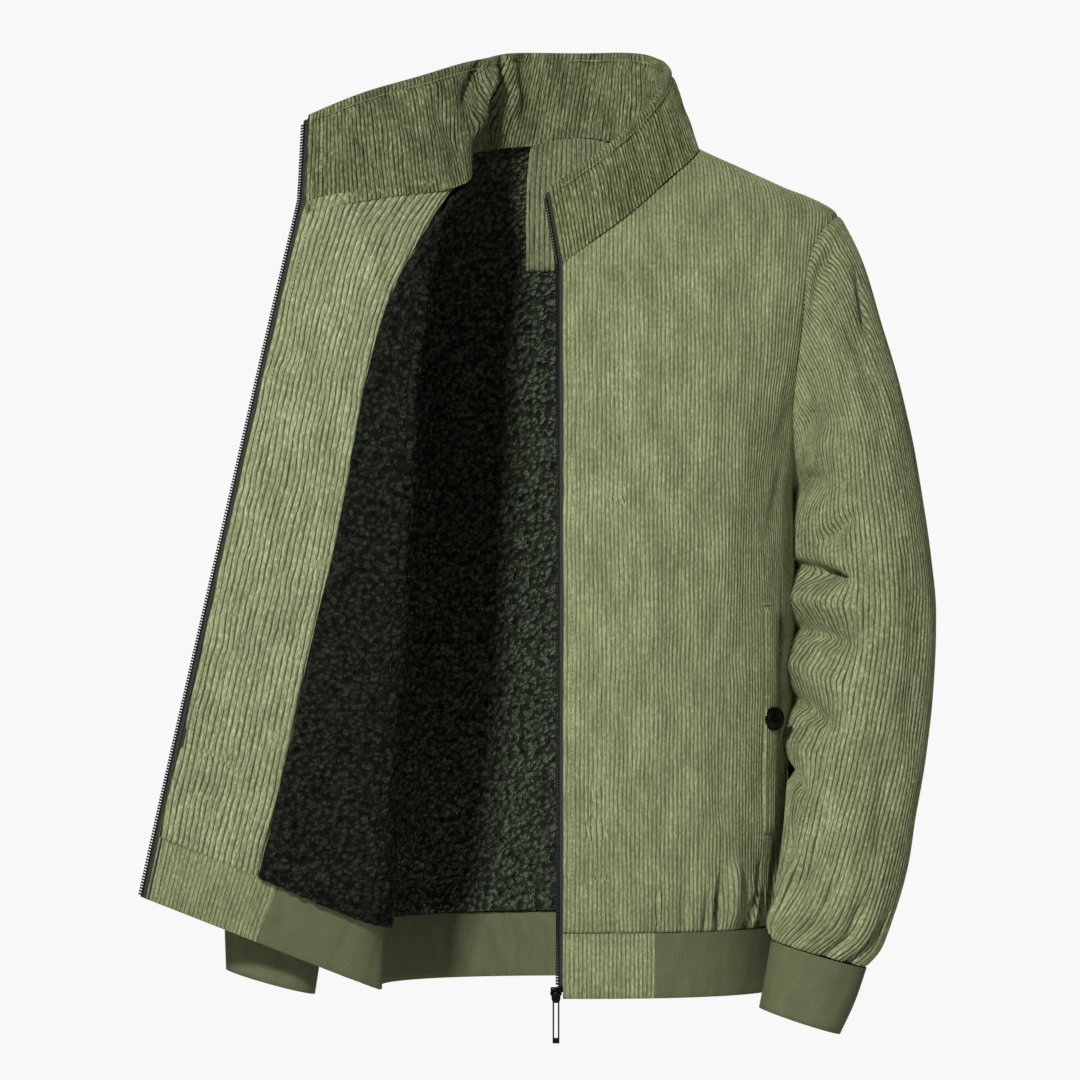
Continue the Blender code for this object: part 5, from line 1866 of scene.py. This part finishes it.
@dataclass
class Pockets(JacketPart):
    """The welts of both slanted pockets, and their snap buttons."""

    wale: float = 0.6 * MM
    sunk: float = 1.2 * MM
    thick: float = 3.0 * MM
    free_edge: float = 0.8 * MM
    round_ends: float = 4.0 * MM
    round_sides: float = 3.0 * MM
    seam: float = 4.5 * MM
    seam_width: float = 1.2 * MM
    seam_depth: float = 0.7 * MM
    button_down: float = -0.7
    button_steps: int = 40
    button_profile: tuple[Pair, ...] = (
        (0.0, 2.0), (3.0, 1.95), (6.0, 1.6), (7.6, 1.0), (8.1, 0.8), (8.5, 1.0), (9.1, 0.9), (9.5, 0.2),
        (9.5, -1.2), (9.0, -1.8),
    )

    def build(self) -> None:
        """Makes both welts and their buttons."""
        for name, side in SIDES.items():
            self.welt(name, side, POCKETS[side])
            self.button(name, side, POCKETS[side])

    def welt(self, name: str, side: int, place: PocketPlace) -> None:
        """Makes a folded strip of corduroy, its free edge standing off the front.

        Args:
            name, side: "left" and 1, or "right" and -1.
            place: the pocket's place.
        """
        pitch, surface = Look.FRONT.value.pitch, FORM.front(side)
        z = np.linspace(place.bottom, place.top, 40)
        across = np.arange(0.0, place.width + 1e-6, pitch / SIZES.per_wale)
        share = (across / across[-1])[:, None]
        arc = front_arc(place.near_x, z)[None, :] + across[:, None]
        level = np.broadcast_to(z, arc.shape)
        ends = rolled(np.minimum(level - place.bottom, place.top - level), self.round_ends)
        rounded = ends * rolled(np.minimum(share, 1 - share) * place.width, self.round_sides)
        rise = place.lift - self.sunk + (self.thick + self.free_edge * share) * rounded
        rise = rise + wale_height(arc - FORM.zip_edge, pitch, self.wale) * rounded
        rise = rise - self.seam_depth * bell(share * place.width - self.seam, self.seam_width)
        points = surface(arc, level) + outward(surface, arc, level, side) * rise[..., None]
        uv = np.stack([arc - FORM.zip_edge, level - place.bottom], axis=-1)
        piece = ClothGrid(points, uv).build(f"corduroy_welt_{name}", self.collection)
        self.give(piece, Look.FRONT, "corduroy", [f"welt_{name}"],
                  Declared((place.width + 0.001, 0.186), place.width * 0.185, "laid"))

    def button(self, name: str, side: int, place: PocketPlace) -> None:
        """Makes a domed black snap with a rolled rim.

        Args:
            name, side: "left" and 1, or "right" and -1.
            place: the pocket's place.
        """
        low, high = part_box(f"button_{name}")
        centre = (np.array(low) + np.array(high)) / 2
        level = np.array([place.button_z])
        arc = front_arc(place.near_x, level)[:, None] + place.width / 2
        normal = outward(FORM.front(side), arc, level[None], side)[0, 0]
        normal = normal + np.array([0.0, self.button_down, 0.0])
        maker = bmesh.new()
        verts = [maker.verts.new((r * MM, 0.0, h * MM)) for r, h in self.button_profile]
        edges = [maker.edges.new(pair) for pair in zip(verts, verts[1:])]
        bmesh.ops.spin(maker, geom=verts + edges, cent=(0, 0, 0), axis=(0, 0, 1), angle=2 * math.pi,
                       steps=self.button_steps)
        bmesh.ops.remove_doubles(maker, verts=maker.verts, dist=0.02 * MM)
        bmesh.ops.recalc_face_normals(maker, faces=maker.faces)
        turn = Vector(normal).to_track_quat("Z", "Y").to_matrix().to_4x4()
        bmesh.ops.transform(maker, matrix=Matrix.Translation(centre) @ turn, verts=maker.verts)
        self.give(finished(f"snap_button_{name}", maker, self.collection), Look.SNAP, "snap_button",
                  [f"button_{name}"])


def finished(name: str, maker: Maker, collection: bpy.types.Collection) -> bpy.types.Object:
    """Turns a bmesh into a smooth-shaded object at the origin.

    Args:
        name: the piece's name.
        maker: its mesh, which is used up.
        collection: where it goes.

    Returns:
        The new object.
    """
    mesh = bpy.data.meshes.new(name)
    maker.to_mesh(mesh)
    maker.free()
    mesh.polygons.foreach_set("use_smooth", np.ones(len(mesh.polygons), bool))
    made = bpy.data.objects.new(name, mesh)
    collection.objects.link(made)
    return made


@dataclass(frozen=True)
class Stitching:
    """A row of stitches along a path: low rounded dashes of thread."""

    length: float = 2.6 * MM
    gap: float = 0.9 * MM
    thread: float = 0.55 * MM

    def lay(self, maker: Maker, path: Array, normal: Array) -> None:
        """Adds the row to a mesh.

        Args:
            maker: the mesh to add to.
            path: points along the row, on the cloth.
            normal: the cloth's outer normal at each point.
        """
        run = run_length(path, 0)
        for start in np.arange(0.0, run[-1] - self.length, self.length + self.gap):
            a, b = read_line(start, run, path), read_line(start + self.length, run, path)
            up = read_line(start + self.length / 2, run, normal)
            way = (b - a) / np.linalg.norm(b - a)
            side = np.cross(up, way) * self.thread / 2
            rise = up * self.thread * 0.6
            section = (side, side * 0.6 + rise, side * -0.6 + rise, -side)
            rings = []
            for share, size in ((0.0, 0.35), (0.2, 1.0), (0.8, 1.0), (1.0, 0.35)):
                middle = a + (b - a) * share
                rings.append([maker.verts.new(middle + offset * size) for offset in section])
            for first, second in zip(rings, rings[1:]):
                for k in range(3):
                    maker.faces.new((first[k], second[k], second[k + 1], first[k + 1]))


@dataclass
class Zips(JacketPart):
    """Both zip halves: dark tape along each front edge and collar end, with its teeth."""

    low: Pair = (-0.672, FORM.band_z)
    even_step: float = 4.0 * MM
    look_in: float = 4.0 * MM
    collar_in: float = 0.01
    collar_low: float = 0.06
    collar_high: float = 0.95
    asides: tuple[float, ...] = (0.0035, 0.0, -0.0015, -0.003, -0.0038, -0.003, -0.0015, 0.0, 0.0035)
    depths: tuple[float, ...] = (0.0016, 0.0014, 0.0013, 0.0013, 0.0019, 0.0025, 0.0026, 0.0028, 0.003)
    teeth_step: float = 2.3 * MM
    tooth: Triple = (3.0 * MM, 1.25 * MM, 2.6 * MM)
    tooth_aside: float = 4.2 * MM
    tooth_depth: float = 1.9 * MM

    def build(self) -> None:
        """Makes the tapes and the teeth."""
        for (name, side), low in zip(SIDES.items(), self.low):
            line = self.edge_line(side, low)
            self.tape(name, *line)
            self.teeth(name, *line)

    def edge_line(self, side: int, low: float) -> tuple[Array, Array, Array]:
        """Finds the line that a zip half follows, up the front edge and the collar's end.

        Args:
            side: 1 for the left, -1 for the right.
            low: height of its lower end.

        Returns:
            Evenly placed points, the ways into the cloth and the outer normals.
        """
        surface = FORM.front(side)
        z, rise = np.linspace(low, FORM.neck_front_z, 60), np.linspace(self.collar_low, self.collar_high, 16)
        arc = np.full_like(z, FORM.zip_edge)
        end = np.full_like(rise, 0.0 if side > 0 else 1.0)
        near = end + self.collar_in * side
        edge = np.concatenate([surface(arc, z), FORM.collar(end, rise)])
        inner = np.concatenate([surface(arc + self.look_in, z), FORM.collar(near, rise)])
        normal = np.concatenate([outward(surface, arc + 0.001, z, side),
                                 outward(FORM.collar, near, rise, 1, (0.004, 0.01))])
        length = run_length(edge, 0)
        shares = np.linspace(0, 1, int(length[-1] / self.even_step))
        even = [read_line(shares, length / length[-1], line) for line in (edge, inner - edge, normal)]
        ways = []
        for line in even[1:]:
            smooth = np.stack([np.convolve(np.pad(column, 3, mode="edge"), np.ones(7) / 7, "valid")
                               for column in line.T], axis=-1)
            ways.append(smooth / np.linalg.norm(smooth, axis=-1, keepdims=True))
        return even[0], ways[0], ways[1]

    def tape(self, name: str, edge: Array, inwards: Array, normal: Array) -> None:
        """Makes a woven strip from inside the fold out to the teeth.

        Args:
            name: the side's name.
            edge, inwards, normal: the zip's line, the ways into the cloth and the outer normals.
        """
        asides, depths = np.array(self.asides), np.array(self.depths)
        points = edge[None] + inwards[None] * asides[:, None, None] - normal[None] * depths[:, None, None]
        u = run_length(np.stack([asides, depths], axis=-1), 0)
        v = run_length(edge, 0)
        uv = np.stack(np.broadcast_arrays(u[:, None], v[None, :]), axis=-1)
        piece = ClothGrid(points, uv).build(f"zip_tape_{name}", self.collection)
        long = float(v[-1])
        self.give(piece, Look.TAPE, "zip_tape", [f"zip_{name}"], Declared((0.015, long), 0.0145 * long))

    def teeth(self, name: str, edge: Array, inwards: Array, normal: Array) -> None:
        """Makes the small moulded teeth clamped on the tape's edge.

        Args:
            name: the side's name.
            edge, inwards, normal: the zip's line, the ways into the cloth and the outer normals.
        """
        v = run_length(edge, 0)
        maker = bmesh.new()
        for at in np.arange(0.002, v[-1] - 0.002, self.teeth_step):
            centre, side, up = (read_line(at, v, line) for line in (edge, inwards, normal))
            centre = centre - side * self.tooth_aside - up * self.tooth_depth
            turn = Matrix(np.column_stack([side, np.cross(up, side), up]).tolist()).to_4x4()
            verts = bmesh.ops.create_cube(maker, size=1.0)["verts"]
            bmesh.ops.scale(maker, vec=self.tooth, verts=verts)
            for vert in verts:
                if vert.co.x < 0:
                    vert.co.y *= 1.25
                    vert.co.z *= 0.8
            bmesh.ops.transform(maker, matrix=Matrix.Translation(centre) @ turn, verts=verts)
        self.give(finished(f"zip_teeth_{name}", maker, self.collection), Look.TEETH, "zip_metal")


def pin_place() -> Array:
    """Where the pull turns on its pin."""
    return np.array(next(joint for joint in frame["joints"] if joint["name"] == "pull_swing")["pos_m"])


@dataclass
class Slider(JacketPart):
    """The zip slider with its bridge and cross pin, and the pull that swings on the pin."""

    body_depth: float = 6.0 * MM
    bridge: Pair = (3.4 * MM, 2.6 * MM)
    nose: Triple = (5.2 * MM, 4.6 * MM, 5.0 * MM)
    lug: Triple = (1.3 * MM, 4.2 * MM, 3.0 * MM)
    lug_out: float = 3.9 * MM
    pin_radius: float = 0.85 * MM
    pin_length: float = 8.4 * MM
    pull_thick: float = 1.7 * MM
    rail: float = 1.25 * MM
    tip: float = 4.4 * MM
    shoulder: float = 6.0 * MM
    under_pin: float = 1.6 * MM
    eye_radii: Pair = (1.3 * MM, 2.25 * MM)
    eye_half: float = 2.7 * MM
    eye_sides: int = 24

    def build(self) -> None:
        """Makes both metal pieces."""
        self.slider()
        self.pull()

    def block(self, maker: Maker, size: Sequence[float], centre: Array, narrow: float = 1.0,
              soft: float = 0.7 * MM) -> None:
        """Adds a rounded block.

        Args:
            maker: the mesh to add to.
            size: its size.
            centre: its middle.
            narrow: width of its lower end, as a share of the upper one.
            soft: radius of its edges.
        """
        verts = bmesh.ops.create_cube(maker, size=1.0)["verts"]
        for vert in verts:
            if vert.co.z < 0:
                vert.co.x *= narrow
        bmesh.ops.scale(maker, vec=size, verts=verts)
        bmesh.ops.translate(maker, vec=centre, verts=verts)
        edges = list({edge for vert in verts for edge in vert.link_edges})
        bmesh.ops.bevel(maker, geom=edges, offset=soft, segments=3, profile=0.5, affect="EDGES")

    def bar(self, maker: Maker, centre: Array) -> None:
        """Adds the pin: a round bar along X.

        Args:
            maker: the mesh to add to.
            centre: the pin's middle.
        """
        verts = bmesh.ops.create_cone(maker, cap_ends=True, segments=20, radius1=self.pin_radius,
                                      radius2=self.pin_radius, depth=self.pin_length)["verts"]
        turn = Matrix.Rotation(math.pi / 2, 4, "Y")
        bmesh.ops.transform(maker, matrix=Matrix.Translation(centre) @ turn, verts=verts)

    def slider(self) -> None:
        """Makes the slider: a body that takes in the tape, a raised bridge, and the pin in its lugs."""
        low, high = (np.array(corner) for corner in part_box("slider"))
        middle, (wide, _, tall) = (low + high) / 2, high - low
        maker = bmesh.new()
        body = np.array([middle[0], high[1] - self.body_depth / 2, middle[2]])
        self.block(maker, (wide * 0.98, self.body_depth, tall * 0.98), body, narrow=0.72, soft=1.2 * MM)
        raised = body - (0, self.body_depth / 2 - 0.2 * MM, -0.6 * MM)
        self.block(maker, (*self.bridge, tall * 0.78), raised, narrow=0.8, soft=0.9 * MM)
        self.block(maker, self.nose, body + (3.6 * MM, 0.2 * MM, tall / 2 - 1.6 * MM))
        pin = pin_place()
        for side in (-1, 1):
            self.block(maker, self.lug, pin + (side * self.lug_out, 1.0 * MM, 0.0), soft=0.4 * MM)
        self.bar(maker, pin)
        self.give(finished("zip_slider", maker, self.collection), Look.METAL, "zip_metal", ["slider"])

    def pull(self) -> None:
        """Makes the pull: an eye round the pin, and a long flat loop."""
        low, high = (np.array(corner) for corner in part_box("pull"))
        pin = pin_place()
        maker = bmesh.new()
        wide = high[0] - low[0]
        foot, top = low[2] + 0.2 * MM, pin[2] - self.under_pin
        aside = wide / 2 - self.rail / 2 - 0.1 * MM
        rail = (self.rail, self.pull_thick, top - foot - 2 * MM)
        for side in (-1, 1):
            middle = np.array([pin[0] + side * aside, pin[1], (top + foot) / 2])
            self.block(maker, rail, middle, soft=0.45 * MM)
        for tall, level in ((self.tip, foot + self.tip / 2), (self.shoulder, top - self.shoulder / 2)):
            end = (wide - 0.2 * MM, self.pull_thick, tall)
            self.block(maker, end, np.array([pin[0], pin[1], level]), soft=0.6 * MM)
        self.eye(maker, pin)
        made = finished("zip_pull", maker, self.collection)
        self.give(made, Look.METAL, "zip_metal", ["pull"], body="pull")

    def eye(self, maker: Maker, pin: Array) -> None:
        """Adds the ring round the pin, with a true hole.

        Args:
            maker: the mesh to add to.
            pin: the pin's middle.
        """
        inner, outer = self.eye_radii
        half = self.eye_half
        turns = np.linspace(0, 2 * math.pi, self.eye_sides + 1)[:-1]
        rings = []
        for radius, x in ((inner, -half), (outer, -half), (outer, half), (inner, half)):
            offsets = [(x, radius * math.cos(turn), radius * math.sin(turn)) for turn in turns]
            rings.append([maker.verts.new(pin + offset) for offset in offsets])
        for ring, after in zip(rings, rings[1:] + rings[:1]):
            for i, j in zip(range(self.eye_sides), [*range(1, self.eye_sides), 0]):
                maker.faces.new((ring[i], ring[j], after[j], after[i]))


@dataclass
class TopStitching(JacketPart):
    """Rows of visible stitching: front edges, collar bands, welts and their bar tacks."""

    front_rows: tuple[tuple[int, float, float], ...] = (
        (1, 6.8 * MM, 0.4 * MM), (-1, 6.8 * MM, 0.4 * MM), (-1, 7.5 * MM, 5.4 * MM), (1, 7.5 * MM, 5.4 * MM))
    collar_rise: float = 0.905
    collar_ends: Pair = (0.021, 0.979)
    collar_depths: Pair = (0.6 * MM, 5.8 * MM)
    tack: Stitching = Stitching(length=1.6 * MM, gap=0.05 * MM, thread=1.0 * MM)

    def build(self) -> None:
        """Makes one thread piece for each garment area."""
        self.fronts()
        self.collar_rows()
        self.pocket_rows()

    def row(self, maker: Maker, surface: Surface, a: Array, b: Array, flip: int, depth: float,
            step: Pair = (0.001, 0.001), stitches: Stitching = Stitching()) -> None:
        """Lays a row on a surface.

        Args:
            maker: the mesh to add to.
            surface: lays pattern places in space.
            a, b: the row's pattern places.
            flip: 1 or -1, so that normals face out.
            depth: how far under the outer face; past the cloth's thickness it faces in.
            step: how far each way to look for the normal.
            stitches: the kind of stitch.
        """
        base, normal = surface(a, b), outward(surface, a, b, flip, step)
        stitches.lay(maker, base - normal * depth, normal if depth < SIZES.cloth else -normal)

    def fronts(self) -> None:
        """Makes the rows beside both front edges, from the hem to the neck."""
        maker = bmesh.new()
        z = np.linspace(FORM.band_z + 0.004, FORM.neck_front_z - 0.006, 240)
        for side, aside, depth in self.front_rows:
            self.row(maker, FORM.front(side), np.full_like(z, FORM.zip_edge + aside), z, side, depth)
        self.give(finished("stitching_fronts", maker, self.collection), Look.THREAD, "corduroy")

    def collar_rows(self) -> None:
        """Makes the rows below the collar's top edge, and beside its ends."""
        maker = bmesh.new()
        part, rise, step = np.linspace(0.022, 0.978, 260), np.linspace(0.02, 0.9, 40), (0.002, 0.01)
        for depth in self.collar_depths:
            self.row(maker, FORM.collar, part, np.full_like(part, self.collar_rise), 1, depth, step)
            for end in self.collar_ends:
                self.row(maker, FORM.collar, np.full_like(rise, end), rise, 1, depth, step)
        self.give(finished("stitching_collar", maker, self.collection), Look.THREAD, "corduroy")

    def pocket_rows(self) -> None:
        """Makes a close bar of thread across each end of both welts, and a row down each welt."""
        maker = bmesh.new()
        for side, place in POCKETS.items():
            surface = FORM.front(side)
            for z in (place.top + 0.001, place.bottom - 0.001):
                start = float(front_arc(place.near_x, np.array([z]))[0])
                arc = np.linspace(start - 0.001, start + place.width - 0.002, 12)
                self.row(maker, surface, arc, np.full_like(arc, z), side, -0.2 * MM, stitches=self.tack)
            z = np.linspace(place.bottom + 0.003, place.top - 0.003, 80)
            arc = front_arc(place.near_x, z) + Pockets.seam
            self.row(maker, surface, arc, z, side, -(place.lift + 0.7 * MM))
        self.give(finished("stitching_pockets", maker, self.collection), Look.THREAD, "corduroy")


@dataclass(frozen=True)
class Lamp:
    """A square soft light that looks at the jacket's middle."""

    name: str
    place: Triple
    size: float
    power: float
    aim: Triple = (0.0, 0.0, -0.32)

    def build(self) -> None:
        """Adds the light."""
        lamp = bpy.data.lights.new(self.name, "AREA")
        lamp.size, lamp.energy = self.size, self.power
        made = bpy.data.objects.new(self.name, lamp)
        made.location = self.place
        way = np.array(self.aim) - np.array(self.place)
        flat = math.hypot(way[0], way[1])
        made.rotation_euler = (math.atan2(flat, -way[2]), 0.0, math.atan2(way[1], way[0]) - math.pi / 2)
        bpy.context.scene.collection.objects.link(made)


@dataclass(frozen=True)
class Studio:
    """Soft studio light, a plain white surround and the camera."""

    eye: Triple = (-0.022, -4.5, -0.32)
    lens: float = 185.0
    lamps: tuple[Lamp, ...] = (
        Lamp("key", (-1.15, -3.6, 1.35), 0.35, 162.0), Lamp("fill", (2.4, -3.6, 0.2), 2.4, 7.0),
        Lamp("rim", (0.3, 2.4, 2.4), 1.6, 30.0),
    )
    backdrop: str = "#f8f8f8"
    glow: str = "#f4f5f3"
    glow_strength: float = 0.15
    floor_z: float = -1.35
    floor_colour: str = "#f1f1f0"

    def build(self) -> None:
        """Sets up the camera, lights, surround and floor."""
        scene = bpy.context.scene
        camera = bpy.data.objects.new("camera", bpy.data.cameras.new("camera"))
        camera.data.lens, camera.data.sensor_width = self.lens, 36.0
        camera.location, camera.rotation_euler = self.eye, (math.pi / 2, 0, 0)
        scene.collection.objects.link(camera)
        scene.camera = camera
        scene.view_settings.view_transform = "Standard"
        for lamp in self.lamps:
            lamp.build()
        self.surround()
        self.floor()

    def surround(self) -> None:
        """Makes a white that the camera sees, and a dimmer even light on the jacket."""
        world = bpy.data.worlds.new("studio")
        bpy.context.scene.world = world
        world.use_nodes = True
        tree = world.node_tree
        tree.nodes.clear()
        rays = tree.nodes.new("ShaderNodeLightPath")
        seen = tree.nodes.new("ShaderNodeBackground")
        seen.inputs["Color"].default_value = linear(self.backdrop)
        lighting = tree.nodes.new("ShaderNodeBackground")
        lighting.inputs["Color"].default_value = linear(self.glow)
        lighting.inputs["Strength"].default_value = self.glow_strength
        mix = tree.nodes.new("ShaderNodeMixShader")
        out = tree.nodes.new("ShaderNodeOutputWorld")
        tree.links.new(rays.outputs["Is Camera Ray"], mix.inputs[0])
        tree.links.new(lighting.outputs[0], mix.inputs[1])
        tree.links.new(seen.outputs[0], mix.inputs[2])
        tree.links.new(mix.outputs[0], out.inputs[0])

    def floor(self) -> None:
        """Makes a plain pale floor well below the hanging jacket."""
        maker = bmesh.new()
        bmesh.ops.create_grid(maker, x_segments=1, y_segments=1, size=4.0)
        bmesh.ops.translate(maker, vec=(0, 0, self.floor_z), verts=maker.verts)
        made = finished("studio_floor", maker, bpy.context.scene.collection)
        n = Nodes("pale_floor")
        n.set(Base_Color=linear(self.floor_colour), Roughness=0.8)
        made.data.materials.append(n.material)


def main() -> None:
    """Builds the jacket's finished surfaces and the studio."""
    logging.basicConfig(level=logging.INFO, format="%(name)s %(message)s")
    collection = bpy.data.collections.new("jacket_surfaces")
    bpy.context.scene.collection.children.link(collection)
    for kind in (Fronts, Back, NeckPatch, Sleeves, Collar, Waistband, Cuffs, Pockets, Zips, Slider,
                 TopStitching):
        kind(collection).build()
    Studio().build()


if __name__ == "__main__":
    main()
